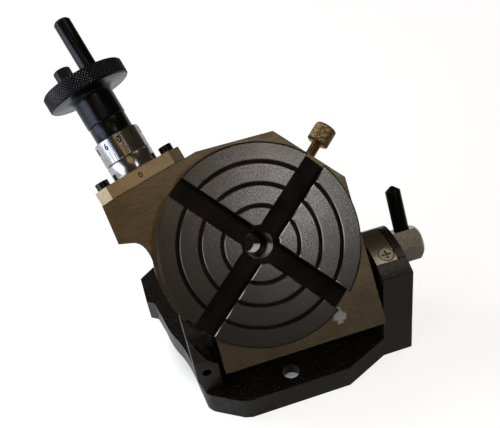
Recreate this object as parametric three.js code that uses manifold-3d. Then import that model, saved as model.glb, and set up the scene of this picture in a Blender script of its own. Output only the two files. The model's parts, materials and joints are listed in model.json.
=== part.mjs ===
// Tilting rotary table, 100 mm, with worm drive.
// Millimetres, +Z up. The origin lies on the underside of the base, below the tilt axis and below the
// centre of the table; +X runs along the tilt axis towards the clamp nut and +Y runs to the back.
// The cradle is drawn in the table frame: its origin is the middle of the table's top face and its +Z is
// the table's own axis. The worm parts are drawn in the worm frame, whose +Z is the worm's axis.

import * as THREE from 'three';
import { mergeVertices } from 'three/addons/utils/BufferGeometryUtils.js';
import Module from 'manifold-3d';

const wasm = await Module();
wasm.setup();

// ---------------------------------------------------------------- driving sizes

const GAP = 0.3; // between pieces that touch
const RUN = 0.3; // radial room between a shaft and its hole
const DEG = Math.PI / 180;

// Pose in which the table is stored.
const TILT = 51 * DEG; // table away from level
const SLOT_TURN = 40.3 * DEG; // first T-slot from the tilt axis

// Table disc.
const DISC_R = 50;
const DISC_T = 11.3;
const RING_FIRST_R = 18.8;
const RING_PITCH = 10.7;
const RING_COUNT = 3;
const RING_W = 1.7;
const RING_DEPTH = 1.4;
const SLOT_COUNT = 4;
const SLOT_W = 10.7;
const SLOT_NECK = 4.3;
const TEE_W = 17;
const TEE_H = 4.2;
const COUNTERBORE_R = 9.3; // as deep as the T-slots
const MOUTH_R = 7.2; // wide end of the taper, in the counterbore's floor
const TAPER_DEPTH = 32;
const TAPER_RATIO = 0.025; // radius lost for each millimetre of depth
const DRAW_R = 4.5; // through hole below the taper
const RIM_CHAMFER = 0.5;

// Hub, spindle and worm wheel under the disc.
const HUB_R = 26;
const HUB_LEN = 7.4;
const SPINDLE_R = 15;
const SPINDLE_END = 56;
const WHEEL_TEETH = 36;
const MODULE_MM = 1.5;
const WHEEL_FACE = 13;
const TOOTH_PLAY = 0.5; // taken from each tooth's and from the thread's thickness
const WHEEL_SCREW_R = 1.6;
const WHEEL_SCREWS = 4;

// Worm and its place beside the wheel.
const WORM_PITCH_R = 5;
const WORM_THREADED = 17;
const WORM_ANGLE = 15 * DEG; // worm axis away from the table frame's +Y
const WORM_DEPTH = 25.5; // worm axis below the table's top face

// Cradle.
const CRADLE_FRONT = 56.9; // front face to the table's centre
const CRADLE_BACK = 52.4;
const CRADLE_RIGHT = 52.6;
const CRADLE_LEFT = 32.3;
const CRADLE_H = 36.4;
const CUT_X = 23.2; // where the cut corner leaves the back face
const CUT_Y = 20.3; // where it leaves the right face
const ROUND_R = 52.2; // round left side, concentric with the table
const ROUND_LIP = 3.6; // thickness of the lip above the left upright
const ROUND_FRONT = 26; // the lip's front end
const TUNNEL_FRONT = 10.8; // front end of the worm tunnel
const LUG_H = 28;
const LUG_LEFT = 65.4;
const LUG_FRONT = 18.8;
const LUG_FACE = 55; // flange seat, along the worm axis
const WALL = 3.5;

// Tilt axis, seen from the table's centre.
const AXIS_FORWARD = 23.6;
const AXIS_DEPTH = 31.5;
const PIVOT_R = 4;
const BUSH_WALL = 2.2;
const NOSE_R = 34; // cradle's rounded lower front edge, about the tilt axis

// Base.
const AXIS_H = 48.5;
const PLATE_T = 13.8;
const PLATE_FRONT = 40;
const PLATE_BACK = 84;
const WEB_T = 6.6;
const RIM_W = 4.8;
const BOLT_R = 4.5;
const BOLT_FRONT_Y = -30.2;
const BOLT_BACK_Y = 74;
const BOLT_X = 1.2;
const FOOT_FRONT = 48; // front end of the wide back part of the plate
const PLATE_LEFT = 61.5;
const PLATE_RIGHT = 71;
const LEFT_FRONT = 26.5; // front face of the left upright
const LEFT_INNER = 34.7;
const LEFT_T = 11.9;
const LEFT_FOOT_T = 9.5; // the upright is thinner where it meets the plate
const LEFT_FULL_DROP = 24.5; // full thickness from here up, below the tilt axis
const LEFT_FACE_DROP = 11; // top of the front face, below the tilt axis
const LEFT_CROWN_R = 10;
const RIGHT_FRONT = 28.6;
const RIGHT_INNER = 54.5;
const RIGHT_T = 16.4;
const CROWN_R = 45;
const CROWN_Y = -6;
const CROWN_DROP = 30.5; // crown's centre below the tilt axis
const CROWN_TURN = 80.4 * DEG; // where the crown rolls over to the back
const CROWN_BACK_R = 12;
const CROWN_BACK_END = 12 * DEG;
const RIGHT_BACK = 19.5;
const TAPPED_R = 2.4;
const TAPPED_IN = 6.5; // from the left upright's inner face
const TAPPED_DROP = 19.9;

// Index plate on the right upright.
const SEAT_DEPTH = 2.6;
const SEAT_W = 12.2;
const INDEX_T = 2.1;
const INDEX_FRONT = -20.4;
const INDEX_BACK = 4.6;
const INDEX_SCREW_X = 7.5; // from the upright's inner face
const INDEX_SCREW_Y = -16;
const INDEX_SCREW_R = 3.8;

// Tilt clamp.
const STUD_R = 5;
const WASHER_T = 1;
const NUT_FLATS = 17;
const NUT_LEN = 15.5;
const BAR_R = 4.1;
const BAR_POINT = 2.6; // length of the bar's pointed end
const BAR_LEN = 32.9; // from the tilt axis
const BAR_FROM_FACE = 7.6; // from the nut's inner face
const BAR_LEAN = 30 * DEG; // behind the vertical

// Worm flange, collar, dial and handwheel, along the worm axis from the wheel's centre line.
const HOUSING_R = 9.7;
const HOUSING_START = 23.9;
const FLANGE_T = 6.9;
const FLANGE_HALF = 23.6;
const FLANGE_FLAT = 17.4;
const FLANGE_END = 7;
const CAP_AT = 18.3;
const CAP_HEAD_R = 3.6;
const CAP_HEAD_H = 4;
const CAP_R = 2;
const CAP_LEN = 15;
const SHAFT_R = 5;
const NOSE_TUBE_R = 8.5;
const COLLAR_R = 12.3;
const COLLAR_LEN = 7.6;
const DIAL_LEN = 12.5;
const RING_R = 10.1;
const RING_LEN = 8;
const GRUB_R = 1.5;
const HUB_SLEEVE_R = 10.5;
const HUB_SLEEVE_LEN = 15.6;
const HANDWHEEL_R = 21.9;
const HANDWHEEL_T = 8.6;
const HANDWHEEL_WEB = 1.2;
const KEY_W = 3;
const KEY_LEN = 10;
const CRANK_R = 4.65;
const CRANK_LEN = 34.4;
const CRANK_PIN_R = 2.3;
const CRANK_CIRCLE = 14.7;
const CRANK_ANGLE = 62 * DEG; // from the worm frame's +X
const HEX_FLATS = 7.6;
const HEX_H = 5.6;

// Brass lock screw in the cut corner.
const LOCK_DEPTH = 16.2;
const LOCK_R = 2.7;
const LOCK_OUT = 7.6; // shank showing between the corner and the head
const LOCK_HEAD_R = 5.9;
const LOCK_HEAD_LEN = 10.2;
const PAD_R = 2.2;
const PAD_LEN = 4.4;

// ---------------------------------------------------------------- sizes that follow from them

const CRADLE_TOP = -DISC_T - GAP;
const CRADLE_BOTTOM = CRADLE_TOP - CRADLE_H;
const LUG_BOTTOM = CRADLE_TOP - LUG_H;
const PITCH = Math.PI * MODULE_MM;
const WHEEL_PITCH_R = (WHEEL_TEETH * MODULE_MM) / 2;
const WHEEL_R = WHEEL_PITCH_R + MODULE_MM;
const WHEEL_ROOT_R = WHEEL_PITCH_R - 1.25 * MODULE_MM;
const WHEEL_SCREW_CIRCLE = (SPINDLE_R + WHEEL_ROOT_R) / 2;
const WORM_R = WORM_PITCH_R + MODULE_MM;
const WORM_ROOT_R = WORM_PITCH_R - 1.2 * MODULE_MM;
const WORM_OFFSET = WHEEL_PITCH_R + WORM_PITCH_R;
const LEAD_TAN = PITCH / (2 * Math.PI * WORM_PITCH_R);
const WHEEL_TOP = -WORM_DEPTH + WHEEL_FACE / 2;
const WHEEL_BOTTOM = -WORM_DEPTH - WHEEL_FACE / 2;
const CAVITY_R = WHEEL_R + 0.8;
const CAVITY_FLOOR = WHEEL_BOTTOM - 2;
const WORM_BORE_R = WORM_R + 0.6;
const BUSH_R = SPINDLE_R + RUN + 2.7;
const PIVOT_BUSH_R = PIVOT_R + RUN + BUSH_WALL;
const PIVOT_END = 24;
const LEFT_OUTER = LEFT_INNER + LEFT_T;
const RIGHT_OUTER = RIGHT_INNER + RIGHT_T;
const CROWN_Z = AXIS_H - CROWN_DROP;
const FLANGE_BACK = LUG_FACE + GAP;
const FLANGE_FACE = FLANGE_BACK + FLANGE_T;
const COLLAR_START = FLANGE_FACE + GAP;
const COLLAR_END = COLLAR_START + COLLAR_LEN;
const DIAL_START = COLLAR_END + GAP;
const DIAL_END = DIAL_START + DIAL_LEN;
const RING_START = DIAL_END + GAP;
const RING_END = RING_START + RING_LEN;
const SLEEVE_START = RING_END + GAP;
const KEY_START = SLEEVE_START + 2;
const KEY_END = KEY_START + KEY_LEN;
const HANDWHEEL_NEAR = SLEEVE_START + HUB_SLEEVE_LEN;
const HANDWHEEL_FAR = HANDWHEEL_NEAR + HANDWHEEL_T;
const SCREW_RECESS_R = 5;
const SCREW_RECESS = 3;
const SHAFT_END = HANDWHEEL_FAR - SCREW_RECESS - HANDWHEEL_WEB - GAP;
const NUT_START = RIGHT_OUTER + WASHER_T + 2 * GAP;
const NUT_END = NUT_START + NUT_LEN;
const NUT_BORE = BAR_FROM_FACE - BAR_R;
const BAR_X = NUT_START + BAR_FROM_FACE;

// ---------------------------------------------------------------- helpers

// Turns a closed geometry into a solid, with its faces pointing out.
function solid(geometry) {
  const bare = geometry.clone();
  for (const name of Object.keys(bare.attributes)) {
    if (name !== 'position') bare.deleteAttribute(name);
  }
  const merged = mergeVertices(bare, 1e-4);
  const p = merged.attributes.position.array;
  const t = Uint32Array.from(merged.index.array);
  let volume = 0;
  for (let i = 0; i < t.length; i += 3) {
    const a = new THREE.Vector3().fromArray(p, 3 * t[i]);
    const b = new THREE.Vector3().fromArray(p, 3 * t[i + 1]);
    const c = new THREE.Vector3().fromArray(p, 3 * t[i + 2]);
    volume += a.dot(b.cross(c));
  }
  if (volume < 0) {
    for (let i = 0; i < t.length; i += 3) [t[i + 1], t[i + 2]] = [t[i + 2], t[i + 1]];
  }
  const mesh = new wasm.Mesh({ numProp: 3, vertProperties: Float32Array.from(p), triVerts: t });
  return new wasm.Manifold(mesh);
}

function toGeometry(manifold) {
  const mesh = manifold.getMesh();
  const geometry = new THREE.BufferGeometry();
  geometry.setAttribute('position', new THREE.BufferAttribute(mesh.vertProperties, 3));
  geometry.setIndex(new THREE.BufferAttribute(mesh.triVerts, 1));
  geometry.computeVertexNormals();
  return geometry;
}

function join(...solids) {
  return solids.reduce((a, b) => a.add(b));
}

function cut(body, ...tools) {
  return tools.reduce((a, b) => a.subtract(b), body);
}

// Facets around a circle of the given radius.
function facets(r) {
  return 4 * Math.round(2.1 * Math.sqrt(r) + 1);
}

// Body of revolution about +Z from [radius, height] points; a bored profile closes on itself.
function turned(points) {
  const closed = points.every(([r]) => r > 0) ? [...points, points[0]] : points;
  const segments = facets(Math.max(...points.map(([r]) => r)));
  const lathe = new THREE.LatheGeometry(closed.map(([r, z]) => new THREE.Vector2(r, z)), segments);
  return solid(lathe.rotateX(Math.PI / 2));
}

function rod(r, z0, z1) {
  return turned([[0, z0], [r, z0], [r, z1], [0, z1]]);
}

function tube(rIn, rOut, z0, z1) {
  return turned([[rIn, z0], [rOut, z0], [rOut, z1], [rIn, z1]]);
}

function block(x0, x1, y0, y1, z0, z1) {
  const box = new THREE.BoxGeometry(x1 - x0, y1 - y0, z1 - z0);
  return solid(box.translate((x0 + x1) / 2, (y0 + y1) / 2, (z0 + z1) / 2));
}

// Outline given as a Shape or as a list of [x, y] corners, from z0 up to z1.
function prism(outline, z0, z1, curveSegments = 12) {
  const corners = (list) => list.map(([x, y]) => new THREE.Vector2(x, y));
  const shape = Array.isArray(outline) ? new THREE.Shape(corners(outline)) : outline;
  const options = { depth: z1 - z0, bevelEnabled: false, curveSegments };
  return solid(new THREE.ExtrudeGeometry(shape, options).translate(0, 0, z0));
}

function hexagon(flats) {
  const r = flats / Math.sqrt(3);
  return Array.from({ length: 6 }, (_, i) => [r * Math.cos(i * 60 * DEG), r * Math.sin(i * 60 * DEG)]);
}

function moved(manifold, matrix) {
  return manifold.transform(matrix.elements);
}

function shift(x, y, z) {
  return new THREE.Matrix4().makeTranslation(x, y, z);
}

// Takes local +Z to the given direction, with local +X as near as possible to the hint.
function facing(direction, hint, origin = new THREE.Vector3()) {
  const z = direction.clone().normalize();
  const y = new THREE.Vector3().crossVectors(z, hint).normalize();
  const x = new THREE.Vector3().crossVectors(y, z);
  return new THREE.Matrix4().makeBasis(x, y, z).setPosition(origin);
}

// Local x, y, z become y, z, x: an outline drawn in (y, z) is extruded along +X.
const ALONG_X = new THREE.Matrix4().makeBasis(
  new THREE.Vector3(0, 1, 0),
  new THREE.Vector3(0, 0, 1),
  new THREE.Vector3(1, 0, 0),
);

function alongX(manifold) {
  return moved(manifold, ALONG_X);
}

const FINISH = {
  paint: { color: 0x1d1c1a, roughness: 0.45, metalness: 0.3 },
  cast: { color: 0x77705f, roughness: 0.4, metalness: 0.8 },
  machined: { color: 0x8f9092, roughness: 0.35, metalness: 0.9 },
  bright: { color: 0xb9bbbd, roughness: 0.2, metalness: 1 },
  blued: { color: 0x17181b, roughness: 0.35, metalness: 0.7 },
  brass: { color: 0xa9814a, roughness: 0.3, metalness: 1 },
  bronze: { color: 0x8a6438, roughness: 0.4, metalness: 1 },
};

function piece(group, name, manifold, finish) {
  const mesh = new THREE.Mesh(toGeometry(manifold), new THREE.MeshStandardMaterial(FINISH[finish]));
  mesh.name = name;
  group.add(mesh);
  return mesh;
}

// ---------------------------------------------------------------- frames

const table = new THREE.Group();
table.name = 'rotary_table';

const cradleFrame = new THREE.Group();
cradleFrame.rotation.x = TILT;
cradleFrame.position.z = AXIS_H;
table.add(cradleFrame);

// Table frame: the middle of the table's top face, before the table is turned.
const topFrame = new THREE.Group();
topFrame.position.set(0, AXIS_FORWARD, AXIS_DEPTH);
cradleFrame.add(topFrame);

const discFrame = new THREE.Group();
discFrame.rotation.z = SLOT_TURN;
topFrame.add(discFrame);

// Worm frame: +Z along the worm, +X towards the wheel.
const WORM_DIR = new THREE.Vector3(-Math.sin(WORM_ANGLE), Math.cos(WORM_ANGLE), 0);
const WORM_SIDE = new THREE.Vector3(Math.cos(WORM_ANGLE), Math.sin(WORM_ANGLE), 0);
const WORM_FOOT = WORM_SIDE.clone().multiplyScalar(-WORM_OFFSET).setZ(-WORM_DEPTH);
const WORM_MATRIX = facing(WORM_DIR, WORM_SIDE, WORM_FOOT);

const wormFrame = new THREE.Group();
wormFrame.applyMatrix4(WORM_MATRIX);
topFrame.add(wormFrame);

// Tilt axis in the table frame, with +Z of its own frame along +X.
const AXIS_MATRIX = shift(0, -AXIS_FORWARD, -AXIS_DEPTH).multiply(ALONG_X);

// Lock screw in the table frame: +Z points out of the cut corner.
const CORNER = new THREE.Vector2(CRADLE_RIGHT - CUT_X, CUT_Y - CRADLE_BACK);
const CORNER_OUT = new THREE.Vector3(-CORNER.y, CORNER.x, 0).normalize();
const CORNER_DISTANCE = CORNER_OUT.x * CUT_X + CORNER_OUT.y * CRADLE_BACK;
const LOCK_MATRIX = facing(CORNER_OUT, new THREE.Vector3(0, 0, 1), new THREE.Vector3(0, 0, -LOCK_DEPTH));

// ---------------------------------------------------------------- base

// Plan of the base plate, pulled in by inset.
function plateOutline(inset = 0) {
  const front = -PLATE_FRONT + inset;
  const back = PLATE_BACK - inset;
  const left = -PLATE_LEFT + inset;
  const right = PLATE_RIGHT - inset;
  const shape = new THREE.Shape();
  shape.moveTo(-24.3, front);
  shape.lineTo(30, front);
  shape.lineTo(RIGHT_INNER, -RIGHT_FRONT + inset);
  shape.lineTo(right, -RIGHT_FRONT + inset);
  shape.lineTo(right, BOLT_BACK_Y);
  shape.lineTo(right - 10, back - 4);
  shape.lineTo(30, back);
  shape.lineTo(-27, back);
  shape.lineTo(left + 9, back - 5);
  shape.lineTo(left, BOLT_BACK_Y - 2);
  shape.lineTo(left, FOOT_FRONT + 3);
  shape.lineTo(left + 4, FOOT_FRONT);
  shape.lineTo(left + 6.4, 35);
  shape.quadraticCurveTo(left + 7.6, 23, left + 10.4, 16);
  shape.quadraticCurveTo(left + 14.6, 5, left + 15.4, -11);
  shape.lineTo(left + 16.7, -LEFT_FRONT + 1.5);
  shape.quadraticCurveTo(left + 18, -LEFT_FRONT - 2, left + 20.4, -LEFT_FRONT - 3.4);
  shape.lineTo(left + 33.3, front + 1.2);
  return shape;
}

// Left upright: flat front, sloping to a round crown about the tilt axis; thinner at the plate.
function leftUpright() {
  const corner = Math.atan2(-LEFT_FACE_DROP, -LEFT_FRONT);
  const tangent = corner - Math.acos(LEFT_CROWN_R / Math.hypot(LEFT_FRONT, LEFT_FACE_DROP));
  const profile = new THREE.Shape();
  profile.moveTo(-LEFT_FRONT, 1);
  profile.lineTo(LEFT_CROWN_R, 1);
  profile.lineTo(LEFT_CROWN_R, AXIS_H);
  profile.absarc(0, AXIS_H, LEFT_CROWN_R, 0, tangent + 2 * Math.PI, false);
  profile.lineTo(-LEFT_FRONT, AXIS_H - LEFT_FACE_DROP);
  const foot = -LEFT_INNER - LEFT_FOOT_T;
  const side = [
    [-LEFT_INNER, 0],
    [-LEFT_INNER, AXIS_H + 40],
    [-LEFT_OUTER, AXIS_H + 40],
    [-LEFT_OUTER, AXIS_H - LEFT_FULL_DROP],
    [foot, PLATE_T],
    [foot, 0],
  ];
  const front = moved(prism(side, -60, 60), new THREE.Matrix4().makeRotationX(Math.PI / 2));
  return alongX(prism(profile, -LEFT_OUTER - 1, -LEFT_INNER + 1, 16)).intersect(front);
}

// Crown of the right upright, lowered by drop: a wide arc that rounds over at the back.
function crown(drop) {
  const r = CROWN_R - drop;
  const y = CROWN_Y + (CROWN_R - CROWN_BACK_R) * Math.cos(CROWN_TURN);
  const z = CROWN_Z + (CROWN_R - CROWN_BACK_R) * Math.sin(CROWN_TURN);
  const start = Math.acos((-RIGHT_FRONT - CROWN_Y) / r);
  const shape = new THREE.Shape();
  shape.moveTo(-RIGHT_FRONT, 1);
  shape.lineTo(-RIGHT_FRONT, CROWN_Z + r * Math.sin(start));
  shape.absarc(CROWN_Y, CROWN_Z, r, start, CROWN_TURN, true);
  shape.absarc(y, z, CROWN_BACK_R - drop, CROWN_TURN, CROWN_BACK_END, true);
  shape.lineTo(RIGHT_BACK, PLATE_T);
  shape.lineTo(RIGHT_BACK, 1);
  return shape;
}

function rightUpright() {
  const whole = alongX(prism(crown(0), RIGHT_INNER, RIGHT_OUTER, 16));
  const seatEnd = RIGHT_INNER + SEAT_W;
  const seat = alongX(prism(crown(SEAT_DEPTH), RIGHT_INNER - 1, seatEnd, 16));
  const zone = block(RIGHT_INNER - 1, seatEnd, INDEX_FRONT - GAP, INDEX_BACK + GAP, AXIS_H, AXIS_H + 40);
  return whole.subtract(zone.subtract(seat));
}

// Room for the table's rim and the cradle's lip as they swing down past the left upright.
function swingRoom() {
  const reach = rod(ROUND_R + 0.5, CRADLE_TOP - ROUND_LIP - 0.5, 0.5);
  const steps = 9;
  const rooms = Array.from({ length: steps + 1 }, (_, i) => {
    const angle = TILT + ((Math.PI / 2 - TILT) * i) / steps;
    const turn = new THREE.Matrix4().makeRotationX(angle).setPosition(0, 0, AXIS_H);
    return moved(reach, turn.multiply(shift(0, AXIS_FORWARD, AXIS_DEPTH)));
  });
  const keep = block(-LEFT_OUTER - 1, -LEFT_INNER + 1, -60, 60, PLATE_T + 4, AXIS_H + 40);
  return join(...rooms).intersect(keep);
}

const SCREW_TILT = Math.asin((INDEX_SCREW_Y - CROWN_Y) / CROWN_R);
const INDEX_MATRIX = new THREE.Matrix4()
  .makeRotationX(-SCREW_TILT)
  .setPosition(RIGHT_INNER + INDEX_SCREW_X, CROWN_Y, CROWN_Z);

function baseCasting() {
  const plate = prism(plateOutline(), 0, PLATE_T);
  const pocket = prism(plateOutline(RIM_W), -1, PLATE_T - WEB_T);
  const band = block(-100, 100, -16, 16, -2, PLATE_T);
  const boss = moved(rod(BOLT_R + 3.4, 0, PLATE_T - 1), shift(BOLT_X, BOLT_BACK_Y, 0));
  const body = join(plate.subtract(pocket.subtract(band)), boss, leftUpright(), rightUpright());
  const bolt = rod(BOLT_R, -1, PLATE_T + 1);
  const holes = [BOLT_FRONT_Y, BOLT_BACK_Y].map((y) => moved(bolt, shift(BOLT_X, y, 0)));
  const tapped = moved(
    rod(TAPPED_R, -LEFT_FRONT - 1, -LEFT_FRONT + 9),
    new THREE.Matrix4()
      .makeRotationX(-Math.PI / 2)
      .setPosition(-LEFT_INNER - TAPPED_IN, 0, AXIS_H - TAPPED_DROP),
  );
  const axis = shift(0, 0, AXIS_H);
  const pivot = moved(alongX(rod(PIVOT_R + GAP, -LEFT_OUTER - 1, -LEFT_INNER + 1)), axis);
  const stud = moved(alongX(rod(STUD_R + RUN, RIGHT_INNER - 1, RIGHT_OUTER + 1)), axis);
  const screw = moved(rod(CAP_R + GAP, CROWN_R - 16, CROWN_R), INDEX_MATRIX);
  return cut(body, ...holes, swingRoom(), tapped, pivot, stud, screw);
}

function indexPlate() {
  const inner = CROWN_R - SEAT_DEPTH + GAP;
  const outer = inner + INDEX_T;
  const angleAt = (y, r) => Math.acos((y - CROWN_Y) / r);
  const shape = new THREE.Shape();
  shape.absarc(CROWN_Y, CROWN_Z, outer, angleAt(INDEX_FRONT, outer), angleAt(INDEX_BACK, outer), true);
  shape.absarc(CROWN_Y, CROWN_Z, inner, angleAt(INDEX_BACK, inner), angleAt(INDEX_FRONT, inner), false);
  const plate = alongX(prism(shape, RIGHT_INNER + GAP, RIGHT_INNER + SEAT_W - GAP, 14));
  return plate.subtract(moved(countersink(GAP), INDEX_MATRIX));
}

// Countersunk head and shank along +Z, grown by room.
function countersink(room) {
  const top = CROWN_R - SEAT_DEPTH + GAP + INDEX_T;
  const head = INDEX_SCREW_R + room;
  const deep = room > 0 ? top + 2 : top;
  const foot = top - INDEX_T - 4;
  const shank = CAP_R + room;
  return turned([
    [0, foot],
    [shank, foot],
    [shank, top - 1.8],
    [head, top - 0.4],
    [head, deep],
    [0, deep],
  ]);
}

function indexScrew() {
  const top = CROWN_R - SEAT_DEPTH + GAP + INDEX_T;
  const arm = block(-2.3, 2.3, -0.45, 0.45, top - 1.3, top + 1);
  const across = moved(arm, new THREE.Matrix4().makeRotationZ(Math.PI / 2));
  return cut(countersink(0), arm, across);
}

piece(table, 'base_casting', baseCasting(), 'paint');
piece(table, 'index_plate', indexPlate(), 'machined');
piece(table, 'index_plate_screw', moved(indexScrew(), INDEX_MATRIX), 'bright');
piece(
  table,
  'pivot_pin',
  moved(alongX(rod(PIVOT_R, -LEFT_OUTER, -PIVOT_END)), shift(0, 0, AXIS_H)),
  'bright',
);

// ---------------------------------------------------------------- cradle

function cradleBlock() {
  const shape = new THREE.Shape();
  const ease = 1.2;
  shape.moveTo(-CRADLE_LEFT, -CRADLE_FRONT);
  shape.lineTo(CRADLE_RIGHT - ease, -CRADLE_FRONT);
  shape.lineTo(CRADLE_RIGHT, -CRADLE_FRONT + ease);
  shape.lineTo(CRADLE_RIGHT, CUT_Y);
  shape.lineTo(CUT_X, CRADLE_BACK);
  shape.lineTo(-17, CRADLE_BACK);
  const end = flangeSeatPoint(WORM_OFFSET - 8.6);
  shape.lineTo(end.x, end.y);
  shape.lineTo(-CRADLE_LEFT, end.y - 4);
  const slab = prism(shape, CRADLE_BOTTOM, CRADLE_TOP);
  return slab.intersect(noseRoom());
}

// Everything that clears the base plate: round about the tilt axis at the lower front.
function noseRoom() {
  const round = moved(rod(NOSE_R, -200, 200), AXIS_MATRIX);
  const behind = block(-200, 200, -AXIS_FORWARD, 200, -200, 50);
  const above = block(-200, 200, -CRADLE_FRONT - 1, 200, -AXIS_DEPTH - 6.5, 50);
  return join(round, behind, above);
}

// Point on the flange seat, at a distance to the left of the line through the table's centre.
function flangeSeatPoint(left) {
  return WORM_SIDE.clone().multiplyScalar(-left).addScaledVector(WORM_DIR, LUG_FACE);
}

function wormTunnel() {
  const shape = new THREE.Shape();
  const right = flangeSeatPoint(WORM_OFFSET - FLANGE_HALF);
  const left = flangeSeatPoint(WORM_OFFSET + FLANGE_HALF);
  const low = Math.asin(TUNNEL_FRONT / ROUND_R);
  const high = Math.asin(5.8 / ROUND_R);
  shape.moveTo(-CRADLE_LEFT + 8, -TUNNEL_FRONT);
  shape.lineTo(-ROUND_R * Math.cos(low), -TUNNEL_FRONT);
  shape.absarc(0, 0, ROUND_R, Math.PI + low, Math.PI - high, true);
  shape.quadraticCurveTo(-53, 16.6, -59, 17.6);
  shape.lineTo(-LUG_LEFT, LUG_FRONT);
  shape.lineTo(left.x, left.y);
  shape.lineTo(right.x, right.y);
  shape.lineTo(-CRADLE_LEFT + 8, 30);
  return prism(shape, LUG_BOTTOM, CRADLE_TOP, 16);
}

function roundLip() {
  const shape = new THREE.Shape();
  const low = Math.asin(ROUND_FRONT / ROUND_R);
  const high = Math.asin(TUNNEL_FRONT / ROUND_R);
  shape.moveTo(-CRADLE_LEFT + 2, -TUNNEL_FRONT + 1);
  shape.lineTo(-CRADLE_LEFT + 2, -ROUND_FRONT);
  shape.absarc(0, 0, ROUND_R, Math.PI + low, Math.PI + high, true);
  shape.lineTo(-ROUND_R * Math.cos(high) + 4, -TUNNEL_FRONT + 1);
  return prism(shape, CRADLE_TOP - ROUND_LIP, CRADLE_TOP, 16);
}

function cradleCasting() {
  const crownRoom = moved(rod(LEFT_CROWN_R + 0.8, -200, -CRADLE_LEFT - 1.5), AXIS_MATRIX);
  const body = join(cradleBlock(), join(wormTunnel(), roundLip()).subtract(crownRoom));
  const wheel = rod(CAVITY_R, CAVITY_FLOOR, CRADLE_TOP + 1);
  const spindle = rod(BUSH_R + GAP, CRADLE_BOTTOM - 1, CAVITY_FLOOR + 1);
  const worm = moved(rod(WORM_BORE_R, -1, HOUSING_START + 0.2), WORM_MATRIX);
  const tail = moved(rod(2.5 + RUN, -7, 1), WORM_MATRIX);
  const housing = moved(rod(HOUSING_R + GAP, HOUSING_START - 3, LUG_FACE + 5), WORM_MATRIX);
  const caps = capPlaces(LUG_FACE - 9, LUG_FACE + 5, CAP_R + GAP);
  const lock = moved(rod(LOCK_R + RUN, HUB_R, CORNER_DISTANCE + 5), LOCK_MATRIX);
  const pivot = moved(rod(PIVOT_BUSH_R + GAP, -CRADLE_LEFT - 1, -PIVOT_END + GAP), AXIS_MATRIX);
  const stud = moved(rod(STUD_R + GAP, CRADLE_RIGHT - 19, CRADLE_RIGHT + 1), AXIS_MATRIX);
  return cut(body, wheel, spindle, worm, tail, housing, ...caps, lock, pivot, stud);
}

// Holes or shanks of the two flange screws, in the table frame.
function capPlaces(z0, z1, r) {
  const places = [-CAP_AT, CAP_AT].map((x) => WORM_MATRIX.clone().multiply(shift(x, 0, 0)));
  return places.map((place) => moved(rod(r, z0, z1), place));
}

piece(topFrame, 'cradle_casting', cradleCasting(), 'cast');
piece(
  topFrame,
  'pivot_bush',
  moved(tube(PIVOT_R + RUN, PIVOT_BUSH_R, -CRADLE_LEFT, -PIVOT_END - GAP), AXIS_MATRIX),
  'bronze',
);
piece(
  topFrame,
  'pivot_washer',
  moved(tube(PIVOT_R + RUN, 10, -LEFT_INNER + GAP, -CRADLE_LEFT - GAP), AXIS_MATRIX),
  'bright',
);
piece(
  topFrame,
  'clamp_side_washer',
  moved(tube(STUD_R + RUN, 10, CRADLE_RIGHT + GAP, RIGHT_INNER - GAP), AXIS_MATRIX),
  'bright',
);
piece(
  topFrame,
  'clamp_stud',
  moved(rod(STUD_R, CRADLE_RIGHT - 18, NUT_START + NUT_BORE - GAP), AXIS_MATRIX),
  'bright',
);
piece(
  topFrame,
  'spindle_bush',
  turned([
    [SPINDLE_R + RUN, CRADLE_BOTTOM],
    [BUSH_R, CRADLE_BOTTOM],
    [BUSH_R, CAVITY_FLOOR + GAP],
    [24, CAVITY_FLOOR + GAP],
    [24, WHEEL_BOTTOM - GAP],
    [SPINDLE_R + RUN, WHEEL_BOTTOM - GAP],
  ]),
  'bronze',
);

// Worm housing: barrel in the lug, two-bolt flange with cut ends, and the nose that carries the collar.
function wormHousing() {
  const half = LUG_H / 2;
  const corner = FLANGE_END;
  const outline = [];
  for (const [sx, sy] of [[1, 1], [-1, 1], [-1, -1], [1, -1]]) {
    const flat = [sx * FLANGE_FLAT, sy * half];
    const end = [sx * FLANGE_HALF, sy * corner];
    outline.push(...(sx * sy > 0 ? [end, flat] : [flat, end]));
  }
  const plate = prism(outline, FLANGE_BACK, FLANGE_FACE);
  const barrel = rod(HOUSING_R, HOUSING_START, FLANGE_BACK + 1);
  const nose = rod(NOSE_TUBE_R, FLANGE_FACE - 1, COLLAR_END - GAP);
  const bore = rod(SHAFT_R + RUN, HOUSING_START - 1, COLLAR_END + 1);
  const hole = rod(CAP_R + GAP, FLANGE_BACK - 1, FLANGE_FACE + 1);
  const caps = [-CAP_AT, CAP_AT].map((x) => moved(hole, shift(x, 0, 0)));
  return cut(join(plate, barrel, nose), bore, ...caps);
}

function capScrew(x) {
  const head = rod(CAP_HEAD_R, FLANGE_FACE + GAP, FLANGE_FACE + GAP + CAP_HEAD_H);
  const shank = rod(CAP_R, FLANGE_FACE + GAP - CAP_LEN, FLANGE_FACE + 1);
  const top = FLANGE_FACE + GAP + CAP_HEAD_H;
  const socket = prism(hexagon(3), top - 2.2, top + 1);
  return moved(join(head, shank).subtract(socket), shift(x, 0, 0));
}

piece(wormFrame, 'worm_housing', wormHousing(), 'cast');
piece(wormFrame, 'flange_screw_left', capScrew(-CAP_AT), 'blued');
piece(wormFrame, 'flange_screw_right', capScrew(CAP_AT), 'blued');
piece(wormFrame, 'index_collar', tube(NOSE_TUBE_R + GAP, COLLAR_R, COLLAR_START, COLLAR_END), 'bright');

// ---------------------------------------------------------------- lock screw and its pad

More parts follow.
